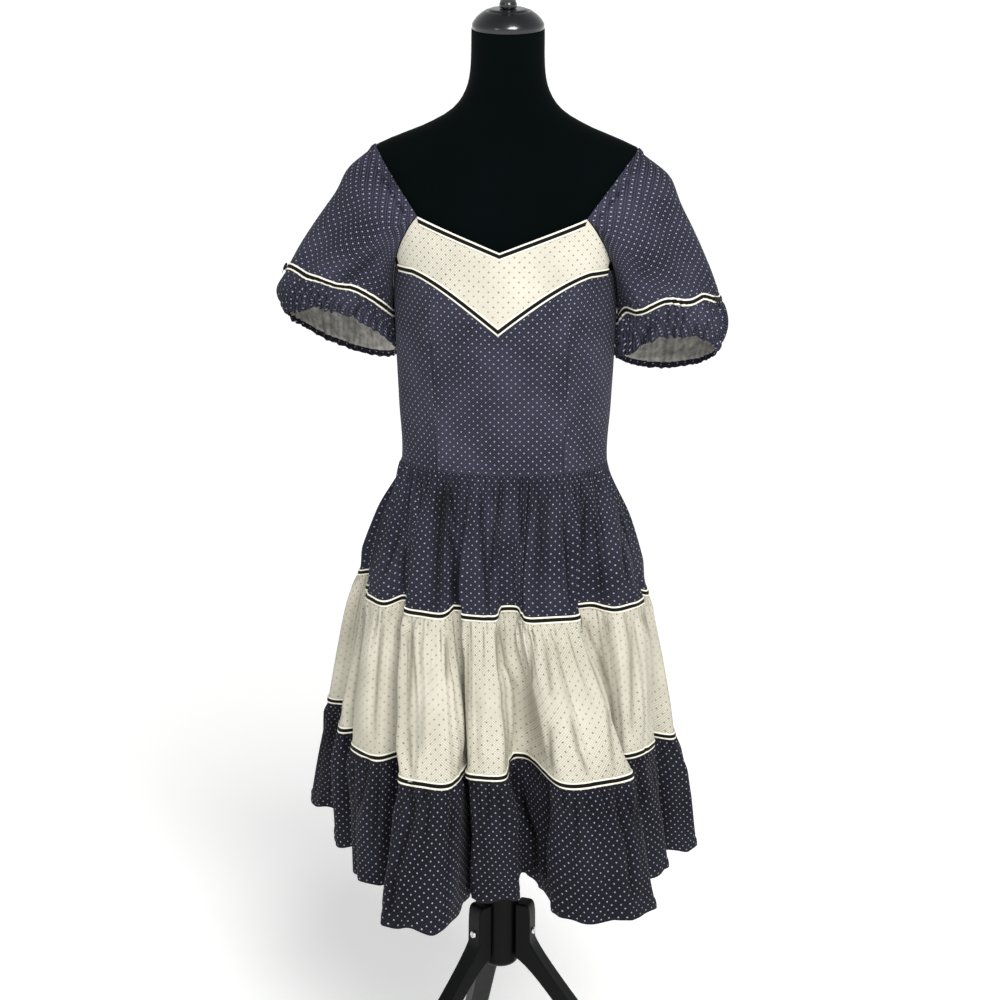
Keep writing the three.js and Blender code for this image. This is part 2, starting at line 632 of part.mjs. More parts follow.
function addStand() {
  add('post', turned(POST_PROFILE, 24), 'wood');
  const poleLength = BODY[0].z - POST_TOP - 2 * SEAM;
  const pole = add('pole', new THREE.CylinderGeometry(POLE_RADIUS, POLE_RADIUS, poleLength, 20), 'wood');
  pole.rotation.x = Math.PI / 2;
  pole.position.z = POST_TOP + SEAM + poleLength / 2;
  const cut = { depth: LEG.thick, curveSegments: 8, bevelEnabled: false };
  const board = new THREE.ExtrudeGeometry(legShape(), cut);
  board.translate(0, 0, -LEG.thick / 2).rotateX(Math.PI / 2);
  const reach = POST_RADIUS + LEG.depth + 2 * SEAM;
  for (let i = 0; i < LEG.count; i += 1) {
    const turn = LEG.first + (i * 360) / LEG.count;
    const leg = add(`leg_${i + 1}`, board.clone(), 'wood');
    leg.rotation.z = radians(turn - 90);
    const bolt = add(`bolt_${i + 1}`, turned(BOLT_PROFILE, 12), 'steel');
    bolt.quaternion.setFromUnitVectors(new THREE.Vector3(0, 0, 1), around(turn, 1, 0));
    bolt.position.copy(around(turn, reach, BOLT_Z));
  }
}

addBodice();
addBodiceRibbons();
addSleeves();
addSkirt();
addForm();
addCap();
addStand();

// The origin is under the middle of the whole piece, on the floor.
part.updateMatrixWorld(true);
const extent = new THREE.Box3().setFromObject(part, true).getCenter(new THREE.Vector3());
part.children.forEach((mesh) => {
  mesh.position.x -= extent.x;
  mesh.position.y -= extent.y;
});

export default part;
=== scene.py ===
"""A tiered cotton dress with a chevron yoke and puff sleeves, on a limbless dress form with a stand.

Shapes are worked out in millimetres from the body's axis, with +Z up and the front towards -Y, and
place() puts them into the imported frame. Angles round the body are in degrees, 0 at the front and 90
at +X. A grid's rows run down and its columns run from left to right as seen from outside.
"""
import math

import bmesh
import bpy
import numpy as np
from mathutils import Matrix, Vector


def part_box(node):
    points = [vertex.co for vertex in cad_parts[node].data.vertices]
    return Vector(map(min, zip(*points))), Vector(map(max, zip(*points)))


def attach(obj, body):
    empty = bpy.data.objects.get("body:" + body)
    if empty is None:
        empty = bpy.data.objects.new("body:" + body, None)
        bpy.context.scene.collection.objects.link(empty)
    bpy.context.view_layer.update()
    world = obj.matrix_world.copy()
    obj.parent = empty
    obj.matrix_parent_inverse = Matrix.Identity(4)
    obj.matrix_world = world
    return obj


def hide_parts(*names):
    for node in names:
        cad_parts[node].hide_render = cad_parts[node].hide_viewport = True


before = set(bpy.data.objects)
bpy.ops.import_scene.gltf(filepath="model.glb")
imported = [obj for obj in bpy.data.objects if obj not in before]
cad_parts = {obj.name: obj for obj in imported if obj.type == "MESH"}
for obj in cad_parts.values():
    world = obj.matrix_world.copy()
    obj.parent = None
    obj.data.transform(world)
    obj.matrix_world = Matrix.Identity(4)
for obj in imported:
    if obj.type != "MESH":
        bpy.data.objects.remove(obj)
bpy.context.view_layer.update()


# Floor, light and camera: a plain pale floor under large soft boxes, as in a small studio. The
# camera stands a little to the right of the middle, above the waist, and looks down at the dress.
MM = 0.001
POLE_LOW, POLE_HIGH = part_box("pole")
BODY_AXIS = np.array([(POLE_LOW.x + POLE_HIGH.x) / 2, (POLE_LOW.y + POLE_HIGH.y) / 2, 0.0])
CAMERA = {"distance": 2600, "height": 1600, "azimuth": 4.0, "down": 15.0, "roll": 0.5}
LENS = {"focal": 77.4, "sensor": 36, "shift": -0.004, "sees": 400}
FLOOR_HALF = 120000
AIM_HEIGHT = 850
DAYLIGHT = {"at": (900, -2300, 2900), "strength": 2.0, "spread": 24}
FLOOR_GLOW = 0.3
SOFT_BOXES = [
    {"name": "key", "at": (450, -1600, 2400), "size": 700, "watts": 14},
    {"name": "window on the left", "at": (-1500, -2400, 2500), "size": 500, "watts": 7},
    {"name": "window on the right", "at": (1300, -2500, 2500), "size": 500, "watts": 7},
]
HORIZON, ZENITH = 0.8, 0.22


def place(points):
    """Millimetres from the body's axis to metres in the frame: scaled, then moved to the axis."""
    return np.asarray(points, float) * MM + BODY_AXIS


def linear(hex_colour):
    """An sRGB hex colour as linear RGBA, by the sRGB curve."""
    parts = np.array([int(hex_colour[i:i + 2], 16) / 255 for i in (1, 3, 5)])
    curve = np.where(parts <= 0.04045, parts / 12.92, ((parts + 0.055) / 1.055) ** 2.4)
    return (*curve, 1.0)


def compass(degrees):
    """The level unit vectors outwards and sideways at an angle round the body: sines and cosines."""
    turn = math.radians(degrees)
    outwards = np.array([math.sin(turn), -math.cos(turn), 0])
    return outwards, np.array([math.cos(turn), math.sin(turn), 0])


def new_object(name, data):
    """An object at the origin that shows a mesh, a lamp or a camera."""
    made = bpy.data.objects.new(name, data)
    bpy.context.collection.objects.link(made)
    return made


def add_node(tree, kind, inputs=None, into=None, ramp=(), **settings):
    """Adds a shader node with its settings, its inputs from values or nodes, and its output's link.

    into is the socket that its first output goes to, and ramp is a colour ramp's two end colours.
    """
    made = tree.nodes.new(f"ShaderNode{kind}")
    for name, value in settings.items():
        setattr(made, name, value)
    for number, hex_colour in enumerate(ramp):
        made.color_ramp.elements[number].color = linear(hex_colour)
    for socket, value in (inputs or {}).items():
        if isinstance(value, bpy.types.Node):
            value = value.outputs[0]
        if isinstance(value, bpy.types.NodeSocket):
            tree.links.new(value, made.inputs[socket])
        else:
            made.inputs[socket].default_value = value
    if into is not None:
        tree.links.new(made.outputs[0], into)
    return made


def new_material(name, **sockets):
    """A material whose shader's sockets are set to constants, its node tree, and those sockets."""
    material = bpy.data.materials.new(name)
    material.use_nodes = True
    shader = material.node_tree.nodes["Principled BSDF"]
    for socket, value in sockets.items():
        shader.inputs[socket.replace("_", " ")].default_value = value
    return material, material.node_tree, shader.inputs


floor_corners = np.array([(-1, -1, 0), (1, -1, 0), (1, 1, 0), (-1, 1, 0)]) * FLOOR_HALF
floor_mesh = bpy.data.meshes.new("floor")
floor_mesh.from_pydata(place(floor_corners), [], [(0, 1, 2, 3)])
white_panels = new_material(
    "white floor panels lit from below", Roughness=0.9, Base_Color=linear("#f8f8f6"),
    Emission_Color=linear("#ffffff"), Emission_Strength=FLOOR_GLOW,
)[0]
floor_mesh.materials.append(white_panels)
new_object("floor", floor_mesh)

world = bpy.data.worlds.new("pale room")
world.use_nodes = True
sky = world.node_tree
direction = add_node(sky, "SeparateXYZ", {"Vector": add_node(sky, "TexCoord")}).outputs["Z"]
background = sky.nodes["Background"].inputs
background["Color"].default_value = linear("#f6f7f8")
add_node(
    sky, "MapRange", {"Value": direction, "To Min": HORIZON, "To Max": ZENITH}, background["Strength"],
)
bpy.context.scene.world = world
bpy.context.scene.view_settings.view_transform = "Standard"


def hang_light(lamp, at):
    """Hangs a lamp at a point, aimed at the middle of the dress."""
    light = new_object(lamp.name, lamp)
    light.location = place(at)
    aim = Matrix.Translation(place((0, 0, AIM_HEIGHT))).translation - light.location
    light.rotation_euler = aim.to_track_quat("-Z", "Y").to_euler()


daylight = bpy.data.lights.new("daylight", "SUN")
daylight.energy = DAYLIGHT["strength"]
daylight.angle = math.radians(DAYLIGHT["spread"])
hang_light(daylight, DAYLIGHT["at"])
for box in SOFT_BOXES:
    lamp = bpy.data.lights.new(box["name"], "AREA")
    lamp.size = box["size"] * MM
    lamp.energy = box["watts"]
    hang_light(lamp, box["at"])

camera = new_object("camera", bpy.data.cameras.new("camera"))
camera.data.lens = LENS["focal"]
camera.data.sensor_width = LENS["sensor"]
camera.data.shift_x = LENS["shift"]
camera.data.clip_end = LENS["sees"]
camera_at = compass(CAMERA["azimuth"])[0] * CAMERA["distance"] + (0, 0, CAMERA["height"])
camera.matrix_world = (
    Matrix.Translation(place(camera_at))
    @ Matrix.Rotation(math.radians(CAMERA["azimuth"]), 4, "Z")
    @ Matrix.Rotation(math.radians(90 - CAMERA["down"]), 4, "X")
    @ Matrix.Rotation(math.radians(CAMERA["roll"]), 4, "Z")
)
bpy.context.scene.camera = camera


# The dress form: a padded torso under black cotton jersey, pulled tight, with no limbs. The table
# gives its skin at each height, and the ease that the cloth's outside keeps over it.
BODY = np.array([
    # height, half width, front depth, back depth, ease
    (700, 138, 90, 102, 6),
    (760, 149, 96, 111, 6),
    (820, 149, 96, 112, 6),
    (890, 137, 91, 99, 6),
    (957, 123, 90, 85, 5),
    (1030, 126, 99, 90, 5),
    (1094, 129, 112, 94, 5),
    (1150, 131, 122, 98, 5),
    (1200, 134, 115, 100, 5),
    (1240, 148, 103, 99, 4.5),
    (1267, 161, 93, 94, 4),
    (1300, 169, 78, 83, 3.5),
    (1325, 166, 64, 68, 2.4),
    (1343, 156.5, 52, 54, 1.8),
    (1355, 130, 47, 50, 1.8),
    (1368, 98, 45, 48, 1.8),
    (1385, 68, 43, 46, 1.8),
    (1405, 52, 42, 44, 1.8),
    (1430, 45, 42, 43, 1.8),
    (1480, 43.5, 43, 43, 1.8),
])
HEIGHT, HALF, FRONT, BACK, EASE = BODY.T
NECK_TOP = 1480
NECK_TILT = 7
FORM_COLUMNS = 112
FORM_ROWS = 110


def through(values, height):
    """A cubic through the table's rows, whose slope at a row is that between its two neighbours."""
    count = len(HEIGHT)
    before = np.maximum(np.arange(count) - 1, 0)
    after = np.minimum(np.arange(count) + 1, count - 1)
    slope = (values[after] - values[before]) / (HEIGHT[after] - HEIGHT[before])
    i = np.clip(np.searchsorted(HEIGHT, height, side="right") - 1, 0, count - 2)
    span = HEIGHT[i + 1] - HEIGHT[i]
    t = np.clip((height - HEIGHT[i]) / span, 0, 1)
    rise = values[i] * (1 + 2 * t) * (1 - t) ** 2 + values[i + 1] * t * t * (3 - 2 * t)
    return rise + span * (slope[i] * t * (1 - t) ** 2 - slope[i + 1] * t * t * (1 - t))


def body_point(angle, height, ease=0.0):
    """A point on the form's oval at a height: half width by sine, depth by cosine, plus some ease."""
    angle, height = np.broadcast_arrays(np.asarray(angle, float), np.asarray(height, float))
    side, ahead = np.sin(np.radians(angle)), np.cos(np.radians(angle))
    depth = np.where(ahead > 0, through(FRONT, height), through(BACK, height))
    grow = ease * through(EASE, height)
    return np.stack([(through(HALF, height) + grow) * side, -(depth + grow) * ahead, height], -1)


def quad_corners(grid):
    """The four corners of each quad of a grid, in their order round it."""
    return [grid[:-1, :-1], grid[1:, :-1], grid[1:, 1:], grid[:-1, 1:]]


def new_piece(name, points, wrap=False, uv=None, painted_fold_shade=None):
    """A mesh of one quad between each four neighbours of a grid, as an object at the origin.

    wrap joins the last column to the first one. Points that fall together, as at a pole, are merged.
    painted_fold_shade is how deep in a closed fold each point lies, from 0 to 1: its painted shade.
    """
    rows, columns = points.shape[:2]
    index = np.arange(rows * columns).reshape(rows, columns)
    if wrap:
        index = np.hstack([index, index[:, :1]])
    quads = np.stack(quad_corners(index), -1).reshape(-1, 4)
    mesh = bpy.data.meshes.new(name)
    mesh.vertices.add(rows * columns)
    mesh.vertices.foreach_set("co", place(points).ravel())
    mesh.loops.add(quads.size)
    mesh.loops.foreach_set("vertex_index", quads.ravel())
    mesh.polygons.add(len(quads))
    mesh.polygons.foreach_set("loop_start", np.arange(0, quads.size, 4))
    mesh.update(calc_edges=True)
    mesh.polygons.foreach_set("use_smooth", np.ones(len(quads), bool))
    if uv is not None:
        layer = mesh.uv_layers.new(name="cloth")
        layer.data.foreach_set("uv", np.stack(quad_corners(uv), 2).ravel())
    else:
        welded = bmesh.new()
        welded.from_mesh(mesh)
        bmesh.ops.remove_doubles(welded, verts=welded.verts, dist=1e-6)
        welded.to_mesh(mesh)
        welded.free()
    if painted_fold_shade is not None:
        mesh.attributes.new("painted_fold_shade", "FLOAT", "POINT").data.foreach_set("value", painted_fold_shade.ravel())
    return new_object(name, mesh)


def stand_in(piece, node, slot, *finishes):
    """Gives a piece its materials, puts it on the one body, and lets it stand for a CAD node."""
    for finish in finishes:
        piece.data.materials.append(finish)
    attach(piece, "root")
    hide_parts(node)


form_angles = np.linspace(0, 360, FORM_COLUMNS, endpoint=False)
form_heights = np.linspace(NECK_TOP, HEIGHT[0], FORM_ROWS)
form_skin = body_point(form_angles, form_heights[:, None])
form_skin[0, :, 2] += form_skin[0, :, 1] * math.tan(math.radians(NECK_TILT))
form_ends = [form_skin[:1] * (share, share, 1) for share in (0, 0.5)]
form_base = [form_skin[-1:] * (share, share, 1) for share in (0.5, 0)]
form_torso = new_piece("jersey_torso", np.concatenate([*form_ends, form_skin, *form_base]), wrap=True)

# Cotton jersey, knitted at about two stitches a millimetre: dull, with a faint nap at grazing angles.
jersey, tree, surface = new_material(
    "black cotton jersey", Roughness=0.95, Sheen_Weight=0.03, Sheen_Roughness=0.4,
    Specular_IOR_Level=0.04,
)
coords = add_node(tree, "TexCoord").outputs["Object"]
patches = add_node(tree, "TexNoise", {"Vector": coords, "Scale": 14.0, "Detail": 3.0})
add_node(tree, "ValToRGB", {"Fac": patches}, surface["Base Color"], ramp=("#010404", "#030809"))
courses = {"Vector": coords, "Scale": 160.0, "Distortion": 1.5}
knit = add_node(tree, "TexWave", courses, bands_direction="Z")
add_node(tree, "Bump", {"Height": knit, "Strength": 0.25, "Distance": 0.0003}, surface["Normal"])
stand_in(form_torso, "form_torso", "black_jersey", jersey)


# Neck cap and finial: turned wood under thick black lacquer, screwed to the top of the neck and
# leaning forward with it.
CAP_PROFILE = [
    # radius and height, from the bottom up
    (0, 0), (42.4, 0), (43, 1), (43, 5), (42, 8), (37, 14.5), (30, 20), (26, 22), (24.8, 20.6),
    (23, 23), (20, 24), (0, 24),
]
FINIAL_PROFILE = [
    (0, 0), (10, 0), (10.5, 2), (10.5, 5), (9, 8), (10, 12), (9.2, 17), (9, 27), (11, 31), (15, 38),
    (17, 45), (16, 52), (12, 58.5), (6, 61.6), (0, 62),
]
CAP_LOW = 0.3
FINIAL_LOW = 24.6


def smoothed(profile, times=2):
    """A profile with its corners cut: each one gives two points, a quarter along both its sides."""
    profile = np.array(profile, float)
    for _ in range(times):
        near = 0.75 * profile[:-1] + 0.25 * profile[1:]
        far = 0.25 * profile[:-1] + 0.75 * profile[1:]
        between = np.stack([near, far], 1).reshape(-1, 2)
        profile = np.concatenate([profile[:1], between, profile[-1:]])
    return profile


def turned(profile, sides):
    """A profile of radius and height turned round the vertical axis, as a grid from top to bottom."""
    profile = np.array(profile, float)[::-1]
    angle = np.linspace(0, 2 * np.pi, sides, endpoint=False)
    radius, height = profile[:, 0, None], profile[:, 1, None] + 0 * angle
    return np.stack([radius * np.sin(angle), -radius * np.cos(angle), height], -1)


def leaning(points, low):
    """Points above the neck's top, lifted by low and turned forward by the neck's tilt."""
    tilt = math.radians(NECK_TILT)
    points = points + (0, 0, low)
    height = points[..., 1] * math.sin(tilt) + points[..., 2] * math.cos(tilt)
    depth = points[..., 1] * math.cos(tilt) - points[..., 2] * math.sin(tilt)
    return np.stack([points[..., 0], depth, NECK_TOP + height], -1)


# Black lacquer: a deep gloss over fine, filled grain.
lacquer, tree, surface = new_material("black lacquer", Coat_Weight=0.6, Coat_Roughness=0.06)
coords = add_node(tree, "TexCoord").outputs["Object"]
haze = add_node(tree, "TexNoise", {"Vector": coords, "Scale": 60.0, "Detail": 4.0})
add_node(tree, "MapRange", {"Value": haze, "To Min": 0.16, "To Max": 0.3}, surface["Roughness"])
add_node(tree, "ValToRGB", {"Fac": haze}, surface["Base Color"], ramp=("#08090b", "#121417"))
ripple = add_node(tree, "TexNoise", {"Vector": coords, "Scale": 25.0, "Detail": 1.0})
add_node(tree, "Bump", {"Height": ripple, "Strength": 0.12, "Distance": 0.0006}, surface["Normal"])

for name, node, profile, sides, low in (
    ("lacquered_cap", "neck_cap", CAP_PROFILE, 96, CAP_LOW),
    ("lacquered_finial", "finial", FINIAL_PROFILE, 64, FINIAL_LOW),
):
    piece = new_piece(name, leaning(turned(smoothed(profile), sides), low), wrap=True)
    stand_in(piece, node, "black_lacquer", lacquer)


# The stand: a pole in a turned post, and three sawn legs screwed to it, all wood under satin black
# paint. A leg is upright against the post and then sweeps out and down to its foot.
POLE_PROFILE = [(0, 480.3), (16, 480.3), (16, 699.7), (0, 699.7)]
POST_PROFILE = [
    (0, 270), (14, 270), (20, 271.5), (24, 276), (24, 281), (24, 474), (23, 478), (19, 480), (0, 480),
]
LEG = {"inner": 24.3, "depth": 21, "thick": 25, "top": 362, "contact": 285, "foot": 300, "pad": 34}
LEG_TURNS = {"leg_1": -46, "leg_2": 74, "leg_3": 194}
LEG_ROUNDING = {"radius": 2.5, "steps": 3, "from_angle": math.radians(50)}


def bezier(start, first, second, end, steps=20):
    """A cubic curve from start to end, pulled towards two handles, without its first point."""
    t = np.linspace(0, 1, steps + 1)[1:, None]
    start, first, second, end = (np.array(point, float) for point in (start, first, second, end))
    left = 1 - t
    return left ** 3 * start + 3 * t * left ** 2 * first + 3 * t * t * left * second + t ** 3 * end


def leg_outline():
    """The board's outline as distance from the axis and height, from the top round by the inside.

    Straight runs and cubic curves between them, whose handles lie some millimetres from their ends.
    """
    inner, outer = LEG["inner"], LEG["inner"] + LEG["depth"]
    top, contact, foot, pad = LEG["top"], LEG["contact"], LEG["foot"], LEG["pad"]
    return np.concatenate([
        [(inner, top), (inner, contact)],
        bezier((inner, contact), (inner + 45, contact - 22), (foot - 130, 95), (foot - pad, 0)),
        [(foot, 0)],
        bezier((foot, 0), (foot + 3, 8), (foot - 2, 16), (foot - 12, 24), 6),
        bezier((foot - 12, 24), (foot - 105, 125), (outer + 16, contact - 12), (outer, contact + 25)),
        bezier((outer, contact + 25), (outer, top - 30), (outer, top - 14), (outer - 1, top - 10), 4),
        bezier((outer - 1, top - 10), (outer - 2, top), (outer - 6, top), (inner + 10, top), 8),
    ])


def board(name, outline, thick, degrees):
    """A board cut to an outline, standing on edge in the direction of an angle round the axis."""
    count = len(outline)
    along, across = compass(degrees)
    middle = outline[:, :1] * along + outline[:, 1:] * (0, 0, 1)
    sides = [middle + across * thick * share for share in (-0.5, 0.5)]
    ring = np.arange(count)
    walls = np.stack([ring, (ring + 1) % count, (ring + 1) % count + count, ring + count], 1)
    faces = [list(ring[::-1]), list(ring + count), *walls.tolist()]
    mesh = bpy.data.meshes.new(name)
    mesh.from_pydata(place(np.concatenate(sides)), [], faces)
    shaped = bmesh.new()
    shaped.from_mesh(mesh)
    bmesh.ops.recalc_face_normals(shaped, faces=shaped.faces)
    shaped.to_mesh(mesh)
    shaped.free()
    made = new_object(name, mesh)
    rounding = made.modifiers.new("rounded edges", "BEVEL")
    rounding.width = LEG_ROUNDING["radius"] * MM
    rounding.segments = LEG_ROUNDING["steps"]
    rounding.limit_method = "ANGLE"
    rounding.angle_limit = LEG_ROUNDING["from_angle"]
    mesh.polygons.foreach_set("use_smooth", np.ones(len(mesh.polygons), bool))
    mesh.set_sharp_from_angle(angle=LEG_ROUNDING["from_angle"])
    return made


# Satin black paint over beech: grain shows through as fine streaks along the wood, with paler wear.
paint, tree, surface = new_material("satin black paint on wood", Specular_IOR_Level=0.12)
coords = add_node(tree, "TexCoord").outputs["Object"]
stretched = add_node(tree, "Mapping", {"Vector": coords, "Scale": (90.0, 90.0, 9.0)})
grain = add_node(tree, "TexNoise", {"Vector": stretched, "Scale": 1.0, "Detail": 5.0, "Roughness": 0.6})
add_node(tree, "ValToRGB", {"Fac": grain}, surface["Base Color"], ramp=("#020303", "#070808"))
add_node(tree, "MapRange", {"Value": grain, "To Min": 0.35, "To Max": 0.55}, surface["Roughness"])
add_node(tree, "Bump", {"Height": grain, "Strength": 0.3, "Distance": 0.0004}, surface["Normal"])

stand = {
    "pole": new_piece("painted_pole", turned(smoothed(POLE_PROFILE, 1), 48), wrap=True),
    "post": new_piece("painted_post", turned(smoothed(POST_PROFILE), 72), wrap=True),
}
for node, degrees in LEG_TURNS.items():
    stand[node] = board(f"painted_{node}", leg_outline(), LEG["thick"], degrees)
for node, piece in stand.items():
    stand_in(piece, node, "black_wood", paint)


# Leg screws: bright steel with a domed head and a hexagon socket, one through each leg.
SCREW = {"height": 322, "gap": 0.3, "sides": 36}
SCREW_PROFILE = [(0, 1.1), (2, 1.1), (2.3, 2.5), (3.6, 2.5), (4.7, 1.5), (5, 0.3), (5, 0), (0, 0)]

# Zinc-plated steel, tumbled bright: a clean metal with fine random scratches.
steel, tree, surface = new_material(
    "bright zinc-plated steel", Metallic=1.0, Base_Color=linear("#d2d3d4"),
)
coords = add_node(tree, "TexCoord").outputs["Object"]
scratches = add_node(tree, "TexNoise", {"Vector": coords, "Scale": 900.0, "Detail": 2.0})
add_node(tree, "MapRange", {"Value": scratches, "To Min": 0.15, "To Max": 0.35}, surface["Roughness"])

for number, degrees in enumerate(LEG_TURNS.values(), 1):
    out, aside = compass(degrees)
    seat = out * (LEG["inner"] + LEG["depth"] + SCREW["gap"]) + (0, 0, SCREW["height"])
    head = turned(SCREW_PROFILE[::-1], SCREW["sides"])
    head = seat + head[..., :1] * aside + head[..., 1:2] * (0, 0, 1) + head[..., 2:] * out
    screw = new_piece(f"leg_screw_{number}", head, wrap=True)
    stand_in(screw, f"bolt_{number}", "bright_steel", steel)


# The striped ribbon: one woven ribbon 8.5 mm wide, ivory with a black stripe down its middle, sewn
# flat over the seams. Its ribs run across it, and the stripe stands a little proud.
RIBBON = {"width": 8.5, "lift": 1.0, "crown": 0.35, "thick": 0.6, "rows": 9}
STRIPE = {"start": 2.0, "end": 6.4, "blur": 0.015}
IVORY, BLACK = "#f7f4e2", "#0b0a08"
RIB_STEP = 1.5


def normals(grid, wrap=False):
    """Unit normals of a grid, as the cross product of its slopes down and across."""
    ahead = np.roll(grid, -1, 1) - np.roll(grid, 1, 1) if wrap else np.gradient(grid, axis=1)
    across = np.cross(np.gradient(grid, axis=0), ahead)
    return across / np.maximum(np.linalg.norm(across, axis=-1, keepdims=True), 1e-9)


def unit(vectors):
    """Vectors divided by their own lengths."""
    return vectors / np.linalg.norm(vectors, axis=-1, keepdims=True)


def run_along(grid, axis):
    """Lengths down a grid's columns (axis 0) or along its rows (axis 1), summed from their start."""
    steps = np.diff(grid, axis=axis, prepend=np.take(grid, [0], axis))
    return np.cumsum(np.linalg.norm(steps, axis=-1), axis)


def beside(row, next_row, distance, wrap=False):
    """A row moved towards the next one until it is a distance away, square to itself.

    At a mitre the row is moved as far as its neighbours are, so that the ribbon keeps its width.
    """
    along = unit(np.roll(row, -1, 0) - np.roll(row, 1, 0) if wrap else np.gradient(row, axis=0))
    down = next_row - row
    square = np.linalg.norm(np.cross(down, along), axis=-1)
    square = np.minimum(square, np.minimum(np.roll(square, 1), np.roll(square, -1)))
    return row + down * (distance / square)[:, None]


def give_thickness(piece, thick, offset=-1):
    """Makes a wall of a surface: inwards from it, or with offset 0 half of it on each side."""
    wall = piece.modifiers.new("thickness", "SOLIDIFY")
    wall.thickness = thick * MM
    wall.offset = offset
    return wall


def add_ribbon(name, above, below, node, wrap=False):
    """The ribbon between two rows of points on the cloth, lifted clear of it and slightly crowned."""
    share = np.linspace(0, 1, RIBBON["rows"])[:, None, None]
    grid = above + (below - above) * share
    grid = grid + normals(grid, wrap) * (RIBBON["lift"] + RIBBON["crown"] * np.sin(np.pi * share) ** 0.5)
    run = np.linalg.norm(np.diff(grid[0], axis=0, append=grid[0][:1]), axis=-1)
    along = np.concatenate([[0], np.cumsum(run)])
    along = along if wrap else along[:-1]
    uv = np.stack(np.meshgrid(along, RIBBON["width"] * share.ravel()), -1)
    piece = new_piece(name, grid, wrap, uv)
    give_thickness(piece, RIBBON["thick"])
    stand_in(piece, node, "striped_ribbon", ribbon_cloth)
    return piece


# Cotton and rayon grosgrain: ivory and black yarns with a slight lustre, ribbed across.
ribbon_cloth, tree, surface = new_material(
    "striped grosgrain ribbon", Roughness=0.8, Sheen_Weight=0.02, Specular_IOR_Level=0.15,
)
cloth = add_node(tree, "UVMap", uv_map="cloth")
down = add_node(tree, "SeparateXYZ", {"Vector": cloth}).outputs["Y"]
across = add_node(tree, "Math", {0: down, 1: RIBBON["width"]}, operation="DIVIDE")
stripes = add_node(tree, "ValToRGB", {"Fac": across}, ramp=(IVORY, IVORY))
for edge, before, after in (("start", IVORY, BLACK), ("end", BLACK, IVORY)):
    centre = STRIPE[edge] / RIBBON["width"]
    stripes.color_ramp.elements.new(centre - STRIPE["blur"]).color = linear(before)
    stripes.color_ramp.elements.new(centre + STRIPE["blur"]).color = linear(after)
rib_scale = math.pi / (10 * RIB_STEP)
ribs = add_node(tree, "TexWave", {"Vector": cloth, "Scale": rib_scale}, bands_direction="X")
ribs = ribs.outputs["Fac"]
# Painted shade: the colour is darker in the grooves between the ribs, where the bump sinks.
shaded = add_node(tree, "MapRange", {"Value": ribs, "To Min": 0.82, "To Max": 1.0})
add_node(
    tree, "MixRGB", {"Fac": 1.0, "Color1": stripes, "Color2": shaded}, surface["Base Color"],
    blend_type="MULTIPLY",
)
add_node(tree, "Bump", {"Height": ribs, "Strength": 0.4, "Distance": 0.0004}, surface["Normal"])


# The bodice: five navy panels and a cream yoke, cut from woven cotton printed with pin dots and
# sewn with plain seams. The yoke's lower edge is a chevron, and its upper edge is the V neck.
# SEAM is the gap between two pieces, and CLOTH is how thick they are.
SEAM = 0.3
CLOTH = 0.5
WAIST = 957
NECK_POINT = 1230
FRONT_CORNER = {"x": 100, "z": 1267}
BACK_CORNER = {"x": 104, "z": 1276}
BACK_NECK = 1262
SHOULDER = 1343
UNDERARM = 1172
ARMHOLE_POWER = 1.15
CHEVRON = {"point": 1139.6, "side": 1202, "reach": 105, "power": 1.35, "bust": 138}
YOKE_END = 63.5
SEAM_DIP = {"deep": 0.5, "reach": 1.6}
SEAM_SHARES = (0.004, 0.010, 0.018)
INNER_SHARE = 0.03
CREASE_FREE = 12


def angle_at(x, height):
    """The angle at which the cloth's oval at a height is x from the middle: an arcsine."""
    half = through(HALF, height) + through(EASE, height)
    return np.degrees(np.arcsin(np.minimum(1, x / half)))


FRONT_CORNER_ANGLE = float(angle_at(FRONT_CORNER["x"], FRONT_CORNER["z"]))
BACK_CORNER_ANGLE = float(angle_at(BACK_CORNER["x"], BACK_CORNER["z"]))


def armhole(from_middle, corner, corner_angle):
    """The armhole's height: it falls from the corner to the underarm, steeply at first."""
    share = np.clip((from_middle - corner_angle) / (90 - corner_angle), 0, 1)
    return UNDERARM + (corner["z"] - UNDERARM) * (1 - share) ** ARMHOLE_POWER


def bodice_top(angle):
    """The upper edge: straight arms of the V in front, a parabola behind, and the armholes."""
    turned_by = np.abs(angle)
    behind = 180 - turned_by
    neck = NECK_POINT + (FRONT_CORNER["z"] - NECK_POINT) * turned_by / FRONT_CORNER_ANGLE
    nape = BACK_NECK + (BACK_CORNER["z"] - BACK_NECK) * (behind / BACK_CORNER_ANGLE) ** 2
    front_hole = armhole(turned_by, FRONT_CORNER, FRONT_CORNER_ANGLE)
    back_hole = armhole(behind, BACK_CORNER, BACK_CORNER_ANGLE)
    front = np.where(turned_by <= FRONT_CORNER_ANGLE, neck, front_hole)
    back = np.where(behind <= BACK_CORNER_ANGLE, nape, back_hole)
    return np.where(turned_by <= 90, front, back)


def chevron(angle):
    """The yoke's lower edge: two arms that rise from the point and flatten towards the armholes."""
    x = np.abs(CHEVRON["bust"] * np.sin(np.radians(angle)))
    reach = np.maximum(0, 1 - x / CHEVRON["reach"])
    return CHEVRON["side"] - (CHEVRON["side"] - CHEVRON["point"]) * reach ** CHEVRON["power"]


def side_top(angle):
    """The upper edge of a side panel: the chevron, or the armhole where that is lower."""
    return np.minimum(chevron(angle), bodice_top(angle))


def waist(angle):
    """The waist seam, level all round."""
    return WAIST + 0 * angle


def close_at_ends(count):
    """Shares from 0 to 1 with some close to both ends, where a seam needs a fine shape."""
    near = np.array(SEAM_SHARES)
    inner = np.linspace(INNER_SHARE, 1 - INNER_SHARE, count)
    return np.concatenate([[0], near, inner, 1 - near[::-1], [1]])


